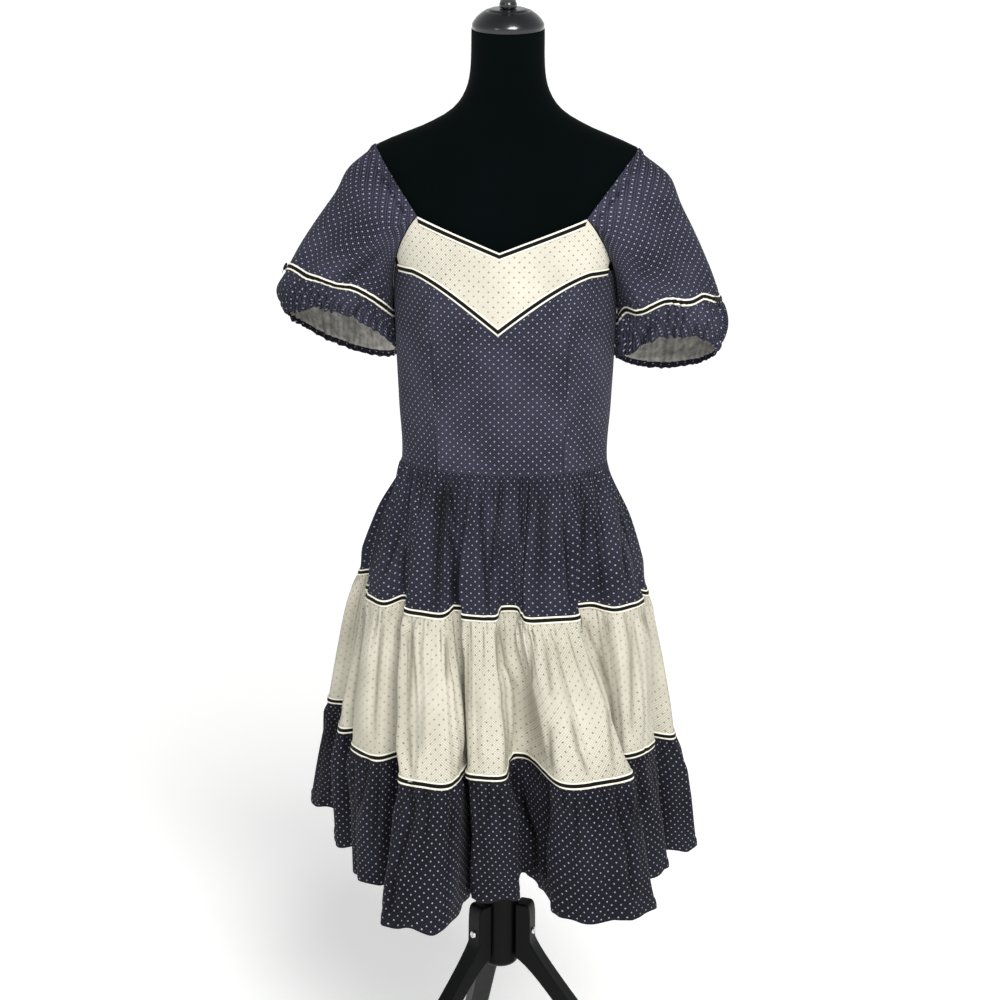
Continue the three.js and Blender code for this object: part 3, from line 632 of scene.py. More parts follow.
def arc_between(angle_a, height_a, angle_b, height_b, steps=16):
    """Length on the cloth between two points of the body, summed along straight steps of both."""
    share = np.linspace(0, 1, steps + 1)[:, None, None]
    angle = angle_a + (angle_b - angle_a) * share
    track = body_point(angle, height_a + (height_b - height_a) * share, 1)
    return np.linalg.norm(np.diff(track, axis=0), axis=-1).sum(0)


# A trough deeper than sharp gets painted shade inside. The others are shares of a crease's own size:
# how far off its banks lie, how high they are, and how wide the painted shade is.
CREASE = {"sharp": 2.5, "bank": 2.2, "bank_height": 0.3, "shade": 0.55}


def creases(grid, front_rows, back_rows):
    """How far creases lift a grid's points, and the painted shade deep in their troughs, from their x
    and z.

    Each crease is a straight soft ridge (or trough, where its depth is negative) from one point to
    another. It falls off as a bell across, with a low bank on both sides, and fades to both ends.
    """
    x, y, z = np.moveaxis(grid, -1, 0)
    lift, painted_fold_shade = np.zeros(x.shape), np.zeros(x.shape)
    for rows, facing in ((front_rows, y < 0), (back_rows, y > 0)):
        for x1, z1, x2, z2, width, depth in rows:
            run = np.array([x2 - x1, z2 - z1], float)
            length = np.hypot(*run)
            share = ((x - x1) * run[0] + (z - z1) * run[1]) / length ** 2
            off = ((x - x1) * run[1] - (z - z1) * run[0]) / length
            fade = np.clip(1 - np.abs(2 * share - 1) ** 3, 0, 1) * facing
            bank = np.exp(-((np.abs(off) - CREASE["bank"] * width) / width) ** 2)
            lift += depth * fade * (np.exp(-(off / width) ** 2) - CREASE["bank_height"] * bank)
            if depth < -CREASE["sharp"]:
                shade = fade * np.exp(-(off / width / CREASE["shade"]) ** 2)
                painted_fold_shade = np.maximum(painted_fold_shade, shade)
    return lift, painted_fold_shade


# Soft creases on the bodice, as they hang: pulls from the bust to the waist and at the side seams.
FRONT_CREASES = [
    # x and z of one end, x and z of the other, half width, height
    (-62, 1150, -58, 970, 9, -1.2),
    (-84, 1190, -96, 1050, 8, 1.3),
    (-101, 1120, -88, 968, 7, -1.3),
    (70, 1165, 66, 985, 8, -1.6),
    (84, 1175, 84, 1010, 6, 1.3),
    (98, 1160, 94, 1000, 6, -1.4),
    (20, 1060, 34, 965, 10, -0.8),
    (-22, 1040, -30, 965, 9, -0.8),
    (-118, 1010, -84, 992, 6, -0.9),
    (118, 1006, 88, 985, 6, -1.0),
    (-104, 1195, -80, 1165, 6, 1.0),
    (104, 1195, 86, 1160, 6, 1.1),
]
BACK_CREASES = [
    (-50, 1180, -46, 975, 9, -1.4),
    (52, 1170, 50, 980, 9, -1.3),
    (-92, 1150, -80, 990, 8, 1.2),
    (88, 1140, 76, 985, 8, -1.2),
    (-20, 1020, -24, 962, 7, -0.8),
    (24, 1030, 18, 965, 7, 0.8),
    (-70, 990, -20, 1000, 6, -0.7),
    (15, 1110, 60, 1120, 8, 0.7),
]


def panel(angles, top, bottom, grain, rows):
    """A bodice panel: its grid, and its cloth coordinates in millimetres.

    Each column runs straight down from the top edge to the bottom one. The seams dip in, soft
    creases lift it, and the cloth coordinates are lengths on the body from the grain line and waist.
    """
    share = close_at_ends(rows)[:, None]
    angles = angles[None, :]
    high, low = top(angles) - SEAM / 2, bottom(angles) + SEAM / 2
    height = high + (low - high) * share
    angles = angles + 0 * share
    grid = body_point(angles, height, 1)
    uv = np.stack([
        arc_between(grain + 0 * angles, height, angles, height) * np.sign(angles - grain),
        arc_between(angles, WAIST + 0 * height, angles, height),
    ], -1)
    down, along = run_along(grid, 0), run_along(grid, 1)
    edge = np.minimum(np.minimum(down, down[-1:] - down), np.minimum(along, along[:, -1:] - along))
    lift = creases(grid, FRONT_CREASES, BACK_CREASES)[0]
    lift *= np.clip(edge / CREASE_FREE, 0, 1)
    lift -= SEAM_DIP["deep"] * np.exp(-edge / SEAM_DIP["reach"])
    return grid + normals(grid) * lift[..., None], uv


def add_cloth(name, node, slot, sides, grid, uv, painted_fold_shade=None, wrap=False):
    """A thin wall of cloth on a grid, inwards from it. sides are its right and its wrong side."""
    piece = new_piece(name, grid, wrap, uv, painted_fold_shade)
    give_thickness(piece, CLOTH).material_offset = 1
    stand_in(piece, node, slot, *sides)
    return piece


def cut_of(uv):
    """The flat cut of a piece from its cloth coordinates: width and length in metres, and area."""
    width, length = (np.ptp(uv[..., k]) * MM for k in (0, 1))
    corners = quad_corners(uv)
    edges = zip(corners, corners[1:] + corners[:1])
    crossed = sum(a[..., 0] * b[..., 1] - a[..., 1] * b[..., 0] for a, b in edges)
    return (width, length), float(np.abs(crossed / 2).sum()) * MM * MM


# How much of a closed fold's colour is painted over with its shadow colour: painted shade.
CREVICE_SHADE = 0.75


def pin_dots(tree, cloth, across, down, size):
    """Where the print's dots are: 1 inside a dot and 0 outside, with a slightly soft edge.

    It is the distance to the nearest of two grids of points, one moved by half a step both ways.
    Slow noise moves the dots by up to 1.6 mm, as the cloth is pulled about in the making.
    """
    wobble = add_node(tree, "TexNoise", {"Vector": cloth, "Scale": 0.11, "Detail": 1.0}).outputs["Color"]
    centred = add_node(tree, "VectorMath", {0: wobble, 1: (0.5, 0.5, 0.5)}, operation="SUBTRACT")
    drift = add_node(tree, "VectorMath", {0: centred, "Scale": 1.6}, operation="SCALE")
    printed = add_node(tree, "VectorMath", {0: cloth, 1: drift}, operation="ADD")
    flat = add_node(tree, "VectorMath", {0: printed, 1: (1.0, 1.0, 0.0)}, operation="MULTIPLY")
    half = np.array([across / 2, down, 1.0])
    distances = []
    for shift in ((0.0, 0.0, 0.0), (across / 2, down, 0.0)):
        moved = add_node(tree, "VectorMath", {0: flat, 1: shift}, operation="ADD")
        wrapped = add_node(tree, "VectorMath", {0: moved, 1: -half, 2: half}, operation="WRAP")
        length = add_node(tree, "VectorMath", {0: wrapped}, operation="LENGTH")
        distances.append(length.outputs["Value"])
    nearest = add_node(tree, "Math", {0: distances[0], 1: distances[1]}, operation="MINIMUM")
    outside, inside = size * 0.5 + DOT_EDGE, size * 0.5 - DOT_EDGE
    return add_node(tree, "MapRange", {"Value": nearest, "From Min": outside, "From Max": inside})


def pin_dot_cotton(name, cloth_print, pleats=0.0):
    """Woven cotton with a staggered print of pin dots, in the cloth's own millimetres.

    The weave is a mesh of two waves at 45 degrees, and broad noise shades the ground. pleats is how
    far fine pleats run down from a gathered edge: noise stretched along the cloth, which fades.
    """
    colours = {key: linear(value) for key, value in cloth_print.items() if key not in DOT_SIZES}
    material, tree, surface = new_material(
        name, Roughness=0.9, Sheen_Weight=0.02, Sheen_Roughness=0.5, Specular_IOR_Level=0.12,
    )
    cloth = add_node(tree, "UVMap", uv_map="cloth")
    spot = pin_dots(tree, cloth, *(cloth_print[size] for size in DOT_SIZES))
    threads = []
    for degrees in (45, -45):
        turned_cloth = {"Vector": cloth, "Rotation": (0.0, 0.0, math.radians(degrees))}
        thread = {
            "Vector": add_node(tree, "Mapping", turned_cloth), "Scale": math.pi / (10 * THREAD_STEP),
            "Distortion": 0.6, "Detail": 1.0,
        }
        threads.append(add_node(tree, "TexWave", thread).outputs["Fac"])
    weave = add_node(tree, "Math", {0: threads[0], 1: threads[1]}, operation="MULTIPLY")
    broad = add_node(tree, "TexNoise", {"Vector": cloth, "Scale": 0.012, "Detail": 4.0})
    tone = add_node(tree, "Math", {0: weave, 1: WEAR, 2: broad}, operation="MULTIPLY_ADD")
    faded = add_node(tree, "MapRange", {"Value": tone, "From Min": 0.35, "From Max": 0.7 + 0.5 * WEAR})
    base = {"Fac": faded, "Color1": colours["ground"], "Color2": colours["ground_light"]}
    strength = add_node(tree, "Math", {0: spot, 1: DOT_STRENGTH}, operation="MULTIPLY")
    printed = {"Fac": strength, "Color1": add_node(tree, "MixRGB", base), "Color2": colours["dot"]}
    # Painted shade: deep in closed folds the colour is mixed towards the painted_fold_shadow colour.
    closed = add_node(tree, "Attribute", attribute_name="painted_fold_shade").outputs["Fac"]
    dark = add_node(tree, "MapRange", {"Value": closed, "To Max": CREVICE_SHADE})
    seen = {"Fac": dark, "Color1": add_node(tree, "MixRGB", printed), "Color2": colours["painted_fold_shadow"]}
    add_node(tree, "MixRGB", seen, surface["Base Color"])
    crumple = {"Vector": cloth, "Scale": 0.06, "Detail": 3.0, "Roughness": 0.55}
    crumpled = {"Height": add_node(tree, "TexNoise", crumple), "Strength": 0.35, "Distance": 0.003}
    soft = add_node(tree, "Bump", crumpled)
    if pleats:
        long_cloth = add_node(tree, "Mapping", {"Vector": cloth, "Scale": (0.16, 0.012, 1.0)})
        streaks = {"Vector": long_cloth, "Scale": 1.0, "Detail": 2.0, "Roughness": 0.4}
        away = add_node(tree, "SeparateXYZ", {"Vector": cloth}).outputs["Y"]
        near = add_node(tree, "MapRange", {"Value": away, "From Min": -pleats, "From Max": 0.0})
        streaks = add_node(tree, "TexNoise", streaks).outputs["Fac"]
        fading = add_node(tree, "Math", {0: streaks, 1: near}, operation="MULTIPLY")
        pleated = {"Height": fading, "Strength": 0.8, "Distance": 0.006, "Normal": soft}
        soft = add_node(tree, "Bump", pleated)
    woven = {"Height": weave, "Strength": 0.35, "Distance": 0.0004, "Normal": soft}
    add_node(tree, "Bump", woven, surface["Normal"])
    return material


# Navy cotton, reactive printed: a faded blue-grey navy with lavender-white dots. The real
# thread is finer than the render shows, so the mesh is drawn 2.4 mm apart.
THREAD_STEP = 2.4
WEAR = 0.9
DOT_SIZES = ("across", "down", "size")
DOT_EDGE = 0.35
DOT_STRENGTH = 0.85
# painted_fold_shadow is the colour painted as shadow deep in closed folds.
NAVY_PRINT = {
    "ground": "#0e0f17", "ground_light": "#434354", "dot": "#bab9cb", "painted_fold_shadow": "#050507",
    "across": 10.2, "down": 5.0, "size": 1.4,
}
SKIRT_PRINT = NAVY_PRINT | {"ground": "#111119", "ground_light": "#353543"}
# The lowest tier's navy is nearly black: painted shade, as the light falls off towards the hem.
HEM_PRINT = NAVY_PRINT | {"ground": "#0b0b11", "ground_light": "#25252e"}
# Cream cotton of the same cloth: unbleached ivory with small grey-brown dots.
CREAM_PRINT = {
    "ground": "#a39f8f", "ground_light": "#d9d4c5", "dot": "#2f2928", "painted_fold_shadow": "#7b7564",
    "across": 11.8, "down": 5.8, "size": 1.8,
}
YOKE_PRINT = CREAM_PRINT | {"ground": "#aca898", "ground_light": "#ded9cb"}
navy = pin_dot_cotton("navy pin-dot cotton", NAVY_PRINT)
gathered_navy = pin_dot_cotton("gathered navy pin-dot cotton", SKIRT_PRINT, pleats=90.0)
hem_navy_with_painted_shade = pin_dot_cotton("navy pin-dot cotton darkened as painted shade", HEM_PRINT, pleats=90.0)
cream = pin_dot_cotton("cream pin-dot cotton", YOKE_PRINT)
gathered_cream = pin_dot_cotton("gathered cream pin-dot cotton", CREAM_PRINT, pleats=110.0)

# How far the sleeves' cuffs are turned in, as a casing for their elastic.
TURNED_IN = 8.0


def wrong_side_cotton(name, turned_in=0.0):
    """The wrong side of the navy cloth: the print hardly comes through, so it is a dusty grey.

    Up to turned_in from the edge at zero, the right side's navy shows, where the edge is turned in.
    """
    material, tree, surface = new_material(
        name, Roughness=0.95, Sheen_Weight=0.05, Specular_IOR_Level=0.1,
    )
    cloth = add_node(tree, "UVMap", uv_map="cloth")
    blotches = {"Vector": cloth, "Scale": 0.12, "Detail": 5.0, "Roughness": 0.7}
    blotches = add_node(tree, "TexNoise", blotches)
    greys = ("#7c7b79", "#d2cec6")
    dusty = add_node(tree, "ValToRGB", {"Fac": blotches}, surface["Base Color"], ramp=greys)
    dusty.color_ramp.elements[0].position = 0.3
    dusty.color_ramp.elements[1].position = 0.7
    if turned_in:
        up = add_node(tree, "SeparateXYZ", {"Vector": cloth}).outputs["Y"]
        past = {"Value": up, "From Min": turned_in - 0.4, "From Max": turned_in}
        printed = {
            "Fac": pin_dots(tree, cloth, *(NAVY_PRINT[size] for size in DOT_SIZES)),
            "Color1": linear("#23222d"), "Color2": linear(NAVY_PRINT["dot"]),
        }
        seen = {
            "Fac": add_node(tree, "MapRange", past), "Color1": add_node(tree, "MixRGB", printed),
            "Color2": dusty,
        }
        add_node(tree, "MixRGB", seen, surface["Base Color"])
    add_node(tree, "Bump", {"Height": blotches, "Strength": 0.8, "Distance": 0.003}, surface["Normal"])
    return material


lining = wrong_side_cotton("wrong side of navy cotton")
cuff_lining = wrong_side_cotton("wrong side of navy cotton with its casing", TURNED_IN)

EDGE_ANGLE = math.degrees(SEAM / 2 / float(through(FRONT, WAIST)))


def pair_of(name, start, end, grain, **cut):
    """The right and the left panel of a pair, whose angles mirror each other."""
    cut |= {"bottom": waist, "slot": "navy_cotton"}
    return [
        {"piece": f"{name}_{side}", "node": f"bodice_{name}_{side}", "from": low, "to": high,
         "grain": grain * way, **cut}
        for side, way, low, high in (("right", 1, start, end), ("left", -1, -end, -start))
    ]


BODICE_PANELS = [
    {"piece": "yoke", "node": "yoke_front", "from": -YOKE_END, "to": YOKE_END, "grain": 0,
     "top": bodice_top, "bottom": chevron, "columns": 116, "rows": 28, "slot": "cream_cotton"},
    {"piece": "front_centre", "node": "bodice_front_centre", "grain": 0,
     "from": -FRONT_CORNER_ANGLE + EDGE_ANGLE, "to": FRONT_CORNER_ANGLE - EDGE_ANGLE,
     "top": chevron, "bottom": waist, "columns": 84, "rows": 72, "slot": "navy_cotton"},
    *pair_of(
        "front_side", FRONT_CORNER_ANGLE + EDGE_ANGLE, 90 - EDGE_ANGLE, 60,
        top=side_top, columns=52, rows=72,
    ),
    *pair_of("back", 90 + EDGE_ANGLE, 180 - EDGE_ANGLE, 135, top=bodice_top, columns=84, rows=80),
]

# The ribbons' edges are found by going from a seam towards points some way above or below it.
ribbon_angles = np.linspace(-YOKE_END, YOKE_END, 200)
ribbon_angles = np.sort(np.append(ribbon_angles, [-FRONT_CORNER_ANGLE, 0, FRONT_CORNER_ANGLE]))
neck_angles = ribbon_angles[np.abs(ribbon_angles) <= FRONT_CORNER_ANGLE]
neck = bodice_top(neck_angles)
neck_edge, neck_below = (body_point(neck_angles, neck - by, 1) for by in (SEAM / 2, 30))
seam = chevron(ribbon_angles)
seam_edge, seam_above, seam_below = (body_point(ribbon_angles, seam + by, 1) for by in (0, 20, -20))
half_ribbon = RIBBON["width"] / 2
yoke_ribbons = [
    add_ribbon(
        "neckline_ribbon", neck_edge, beside(neck_edge, neck_below, RIBBON["width"]), "ribbon_neckline",
    ),
    add_ribbon(
        "chevron_ribbon", beside(seam_edge, seam_above, half_ribbon),
        beside(seam_edge, seam_below, half_ribbon), "ribbon_yoke",
    ),
]
for cut in BODICE_PANELS:
    angles = cut["from"] + (cut["to"] - cut["from"]) * close_at_ends(cut["columns"])
    if cut["grain"] == 0:
        angles = np.sort(np.append(angles, 0.0))
    grid, uv = panel(angles, cut["top"], cut["bottom"], cut["grain"], cut["rows"])
    cream_cut = cut["slot"] == "cream_cotton"
    sides = (cream if cream_cut else navy, lining)
    piece = add_cloth(cut["piece"], cut["node"], cut["slot"], sides, grid, uv)
    flat, area = cut_of(uv)


# The skirt: three gathered tiers, navy, cream and navy, each wider than the last. Its levels are
# ovals at both ribbons and at the hem, and rise is how much higher a valley lies there.
SKIRT_LEVELS = [
    {"z": 785, "half": 165, "front": 105, "back": 140, "rise": 7},
    {"z": 592, "half": 200, "front": 140, "back": 185, "rise": 6},
    {"z": 432, "half": 225, "front": 175, "back": 225, "rise": 5},
]
# The large folds, round the body in degrees: where a crest is at each level and how far it
# spreads, how far it stands out and the valley after it goes in, and how much its hem is lifted.
FOLDS = [
    {"at": (-148, -148, -148), "spread": 10, "out": (22, 36, 43), "into": (0, -8, -27), "lift": 4},
    {"at": (-113, -119, -121), "spread": 9, "out": (36, 60, 73), "into": (3, -10, -34), "lift": 12},
    {"at": (-93, -93, -90), "spread": 6, "out": (9, 12, -8), "into": (-9, -28, -44), "lift": 4},
    {"at": (-73, -67, -60), "spread": 7, "out": (13, 4, -10), "into": (-8, -26, -45), "lift": -3},
    {"at": (-43, -27, -22), "spread": 9, "out": (12, 37, 68), "into": (-7, -25, -44), "lift": -8},
    {"at": (-11, -5, 1), "spread": 8, "out": (12, 10, -12), "into": (-7, -43, -72), "lift": 0},
    {"at": (32, 43, 42), "spread": 12, "out": (15, 38, 55), "into": (-7, -32, -40), "lift": -4},
    {"at": (72, 75, 72), "spread": 8, "out": (20, 0, 2), "into": (-5, -28, -38), "lift": 8},
    {"at": (98, 98, 97), "spread": 7, "out": (18, 22, 25), "into": (-3, -19, -35), "lift": 5},
    {"at": (126, 127, 127), "spread": 10, "out": (23, 34, 37), "into": (0, -10, -27), "lift": 3},
    {"at": (154, 154, 154), "spread": 9, "out": (25, 34, 33), "into": (2, -10, -33), "lift": 0},
    {"at": (183, 183, 183), "spread": 9, "out": (24, 33, 31), "into": (3, -10, -32), "lift": -2},
]
# A fold's shoulder is this share of its height, its side takes up this share of the way to the
# valley's middle, and this share of the valley is flat.
SHOULDER_SHARE = 0.88
FOLD_EDGE = 0.2
VALLEY_FLAT = 0.5
SKIRT_COLUMNS = 800
# Fine, mid and broad gathers have a height, and the first two a step along the cloth. long is how
# far they run down, and shaded how high the painted shadow reaches in their valleys.
TIERS = [
    {"piece": "tier_navy_upper", "node": "skirt_tier_1", "slot": "navy_cotton", "cloth": gathered_navy,
     "belly": 2, "rows": 44,
     "fine": 2.6, "fine_step": 15, "mid": 4.0, "mid_step": 38, "broad": 3.4, "long": 1.0,
     "shaded": 0.4},
    {"piece": "tier_cream", "node": "skirt_tier_2", "slot": "cream_cotton", "cloth": gathered_cream,
     "belly": 1, "rows": 46,
     "fine": 3.2, "fine_step": 9, "mid": 5.0, "mid_step": 26, "broad": 3.6, "long": 0.8,
     "shaded": 0.26},
    {"piece": "tier_navy_lower", "node": "skirt_tier_3", "slot": "navy_cotton", "cloth": hem_navy_with_painted_shade,
     "belly": 2, "rows": 42,
     "fine": 3.4, "fine_step": 12, "mid": 5.2, "mid_step": 30, "broad": 4.0, "long": 0.8,
     "shaded": 0.32},
]
# Steps, heights and depths in millimetres: the hem puckers below its stitches and waves up and down.
HEM = {
    "turn": 14, "pucker": 1.3, "pucker_step": 20, "groove": 0.7, "groove_half": 1.8,
    "wave": 1.6, "wave_step": 46, "wave_reach": 20,
}
# Gathers don't run straight down: they sway by this share of their way.
SWAY = {"step": 70, "share": 0.05}
BROAD_STEP = 95
FORM_GAP = 2.5
DEEPEST = -3.2


def spline(points, t, closed=False):
    """A uniform Catmull-Rom curve through points, at shares t of its whole parameter."""
    count = len(points)
    if closed:
        step = np.asarray(t) * count
        i = np.floor(step).astype(int)
        near = [points[(i + k) % count] for k in (-1, 0, 1, 2)]
    else:
        step = np.asarray(t) * (count - 1)
        i = np.clip(np.floor(step).astype(int), 0, count - 2)
        longer = np.concatenate([[2 * points[0] - points[1]], points, [2 * points[-1] - points[-2]]])
        near = [longer[i + k] for k in range(4)]
    f = (step - i).reshape((-1,) + (1,) * (np.ndim(points) - 1))
    a, b, c, d = near
    bend, twist = 2 * a - 5 * b + 4 * c - d, 3 * b - a - 3 * c + d
    return 0.5 * (2 * b + (c - a) * f + bend * f ** 2 + twist * f ** 3)


def oval_point(level, degrees, offset, height):
    """A point at a distance outside an oval with a half width and two depths."""
    side, ahead = math.sin(math.radians(degrees)), math.cos(math.radians(degrees))
    depth = level["front"] if ahead > 0 else level["back"]
    radius = 1 / math.hypot(side / level["half"], ahead / depth) + offset
    return np.array([radius * side, -radius * ahead, height])


def skirt_ring(number):
    """The control points of a ring: each fold gives two shoulders, a crest and a flat valley.

    A shoulder lies some share of the way towards the valley beside it, so that the fold's side is steep.
    """
    level = SKIRT_LEVELS[number] if number is not None else WAIST_OVAL
    column = number or 0
    points = []
    for before, fold, after in zip(FOLDS[-1:] + FOLDS[:-1], FOLDS, FOLDS[1:] + FOLDS[:1]):
        start, spread = fold["at"][column], fold["spread"]
        end = after["at"][column] + (360 if after is FOLDS[0] else 0)
        came = before["at"][column] - (360 if fold is FOLDS[0] else 0)
        crest, trough = fold["out"][column], fold["into"][column]
        shoulder = trough + (crest - trough) * SHOULDER_SHARE
        lift = fold["lift"] * (column + 1) / len(SKIRT_LEVELS)
        valley = (start + spread + end - after["spread"]) / 2
        valley_before = (came + before["spread"] + start - spread) / 2
        left = start - spread + (valley_before - start + spread) * FOLD_EDGE
        right = start + spread + (valley - start - spread) * FOLD_EDGE
        flat = (valley - start - spread) * VALLEY_FLAT
        for degrees, offset, rise in (
            (left, shoulder, lift), (start, crest, lift), (right, shoulder, lift),
            (valley - flat, trough, lift + level["rise"]), (valley + flat, trough, lift + level["rise"]),
        ):
            free = number is not None
            points.append(oval_point(level, degrees, offset * free, level["z"] + rise * free))
    return np.array(points)


waist_sides = body_point([90, 0, 180], WAIST, 1)
WAIST_OVAL = {
    "z": WAIST, "half": waist_sides[0, 0], "front": -waist_sides[1, 1], "back": waist_sides[2, 1],
    "rise": 0,
}
skirt_rings = [skirt_ring(number) for number in (None, 0, 1, 2)]
fine_shares = np.linspace(0, 1, 4001)
fine_rings = np.array([spline(ring, fine_shares, closed=True) for ring in skirt_rings])
even = run_along(fine_rings, 1)[1:].mean(0)
skirt_shares = np.interp(np.linspace(0, even[-1], SKIRT_COLUMNS, endpoint=False), even, fine_shares)
skirt_controls = np.array([spline(ring, skirt_shares, closed=True) for ring in skirt_rings])

# At the waist the columns keep their order: each angle is half way between an even spread and the
# fold that the column belongs to.
fold_angles = np.unwrap(np.arctan2(skirt_rings[0][:, 0], -skirt_rings[0][:, 1]))
fold_angles = np.append(fold_angles, fold_angles[0] + 2 * np.pi)
by_fold = np.interp(skirt_shares * len(skirt_rings[0]), np.arange(len(fold_angles)), fold_angles)
even_angles = fold_angles[0] + 2 * np.pi * np.arange(SKIRT_COLUMNS) / SKIRT_COLUMNS
skirt_controls[0] = body_point(np.degrees(by_fold + even_angles) / 2, WAIST, 1)


def random_wave(u, around, step, seed, terms=9):
    """A smooth wave of random width: cosines with whole numbers of turns near around / step."""
    draw = np.random.default_rng(seed)
    turns = np.round(around / step * draw.uniform(0.6, 1.45, terms))
    phases = draw.uniform(0, 2 * np.pi, terms)
    waves = np.cos(2 * np.pi * u[..., None] * turns / around + phases)
    return waves.sum(-1) / math.sqrt(terms / 2)


def gathers(u, around, step, seed, shaded=0.22):
    """Round ridges with narrow valleys between them, and the painted shade deep in each valley.

    The ridges are the size of a random wave, less some of its mean. shaded is how high up their
    sides the valleys' painted shadow reaches.
    """
    ridge = np.abs(random_wave(u, around, step, seed))
    return ridge - 0.8, np.clip(1 - ridge / shaded, 0, 1)


def broad_normals(grid, reach=8):
    """Normals averaged over some columns on both sides, so that no narrow fold is turned inside out."""
    exact = normals(grid, wrap=True)
    return unit(sum(np.roll(exact, step, axis=1) for step in range(-reach, reach + 1, 2)))


def rest_on_form(grid, gap):
    """Moves points that lie closer to the form than a gap straight out from its axis."""
    height = np.clip(grid[..., 2], HEIGHT[0], NECK_TOP)
    depth = np.where(grid[..., 1] < 0, through(FRONT, height), through(BACK, height)) + gap
    reach = np.hypot(grid[..., 0] / (through(HALF, height) + gap), grid[..., 1] / depth)
    out = np.where(grid[..., 2] > HEIGHT[0], np.maximum(1, 1 / np.maximum(reach, 1e-6)), 1)
    return grid * np.stack([out, out, np.ones(out.shape)], -1)


def smooth_step(value, low, high):
    """0 below low and 1 above high, with a smooth cubic between them."""
    t = np.clip((value - low) / (high - low), 0, 1)
    return t * t * (3 - 2 * t)


def tier_base(tier, t):
    """Rows of a tier before its gathers: the columns' curves through the rings, bellied out."""
    edge = SEAM / 2 / (WAIST - SKIRT_LEVELS[0]["z"])
    end = 1 if tier == len(TIERS) - 1 else 1 - edge
    rows = spline(skirt_controls, (tier + np.clip(t, edge, end)) / len(TIERS))
    return rows + unit(rows * (1, 1, 0)) * (TIERS[tier]["belly"] * np.sin(np.pi * t))[:, None, None]


def tier_rows(number):
    """Shares of a tier's length for its rows: close together at both ribbons, wider between them."""
    height = [WAIST, *(level["z"] for level in SKIRT_LEVELS)]
    long = height[number] - height[number + 1]
    band = RIBBON["width"] / 2
    head = np.array([0, band * 0.6, band, band + 1.2, band + 2.6, band + 4.4, band + 7]) / long
    tail = 1 - np.array([band + 6, band + 2.5, band, 0]) / long
    body = head[-1] + (tail[0] - head[-1]) * np.linspace(0, 1, TIERS[number]["rows"]) ** 1.25
    return np.concatenate([head[:-1], body, tail[1:]])


def gathered(tier, u, across, under, seed):
    """How far a tier's gathers lift it, and the painted shade deep in their valleys.

    Three sizes of gathers start a little under the seam. Each ends at a random length, as a bell.
    """
    around = even[-1]
    lift, painted_fold_shade = np.zeros(across.shape), np.zeros(across.shape)
    for step, size, reach, start, key in (
        # step along the cloth, height, reach down, distance in which they rise, seed
        (tier["fine_step"], tier["fine"], 22, 5, 1),
        (tier["mid_step"], tier["mid"], 60, 22, 2),
        (tier["mid_step"] * 2.1, tier["mid"] * 1.2, 150, 50, 3),
    ):
        chance = np.clip(random_wave(u, around, 45, seed + 10 * key), -1.2, 1.6)
        length = np.maximum(reach * tier["long"] * (0.75 + 0.5 * chance), reach * 0.2)[None, :]
        fade = np.exp(-(under / length) ** 1.3) * smooth_step(under, 0, start)
        ridge, valley = gathers(across, around, step * 2, seed + key, tier["shaded"])
        lift += size * ridge * fade
        painted_fold_shade = np.maximum(painted_fold_shade, valley * smooth_step(fade, 0.1, 0.7))
    return lift, painted_fold_shade


def tier_grid(number):
    """A tier with its gathers, folds and hem, and its cloth coordinates in millimetres."""
    tier = TIERS[number]
    last = number == len(TIERS) - 1
    base = tier_base(number, tier_rows(number))
    around = even[-1]
    u = around * np.arange(SKIRT_COLUMNS) / SKIRT_COLUMNS
    down = run_along(base, 0)
    under = np.maximum(down - (RIBBON["width"] / 2 if number else 0.5), 0)
    above_end = down[-1:] - down
    seed = 100 * (number + 1)
    sway = random_wave(u, around, SWAY["step"], seed)[None, :] * down * SWAY["share"]
    across = u[None, :] + sway
    lift, painted_fold_shade = gathered(tier, u, across, under, seed)
    broad = tier["broad"] * random_wave(across, around, BROAD_STEP, seed + 5)
    broad *= smooth_step(under, 20, 90)
    lift += broad if last else broad * smooth_step(above_end, 4, 40)
    painted_fold_shade *= smooth_step(above_end, 2, 20)
    if last:
        near_hem = np.exp(-(above_end - HEM["turn"] * 0.4) ** 2 / 90)
        pucker = random_wave(across, around, HEM["pucker_step"], seed + 6) * HEM["pucker"]
        groove = HEM["groove"] * np.exp(-((above_end - HEM["turn"]) / HEM["groove_half"]) ** 2)
        lift += pucker * near_hem - groove
    creased, deep = creases(base, TIER_CREASES[number], BACK_TIER_CREASES[number])
    painted_fold_shade = np.maximum(painted_fold_shade, deep)
    lift = np.maximum(lift + creased, DEEPEST)
    grid = base + broad_normals(base) * lift[..., None]
    if last:
        wave = random_wave(u, around, HEM["wave_step"], seed + 7)[None, :] * HEM["wave"]
        grid[..., 2] += wave * np.exp(-above_end / HEM["wave_reach"])
    grid = rest_on_form(grid, FORM_GAP)
    step_across = np.linalg.norm(np.diff(grid, axis=1, append=grid[:, :1]), axis=-1).mean(0)
    step_down = np.linalg.norm(np.diff(grid, axis=0), axis=-1).mean(1)
    cloth_u = np.concatenate([[0], np.cumsum(step_across)])
    cloth_v = np.concatenate([[0], np.cumsum(step_down)])
    uv = np.stack(np.meshgrid(cloth_u, -cloth_v), -1)
    return grid, uv, painted_fold_shade
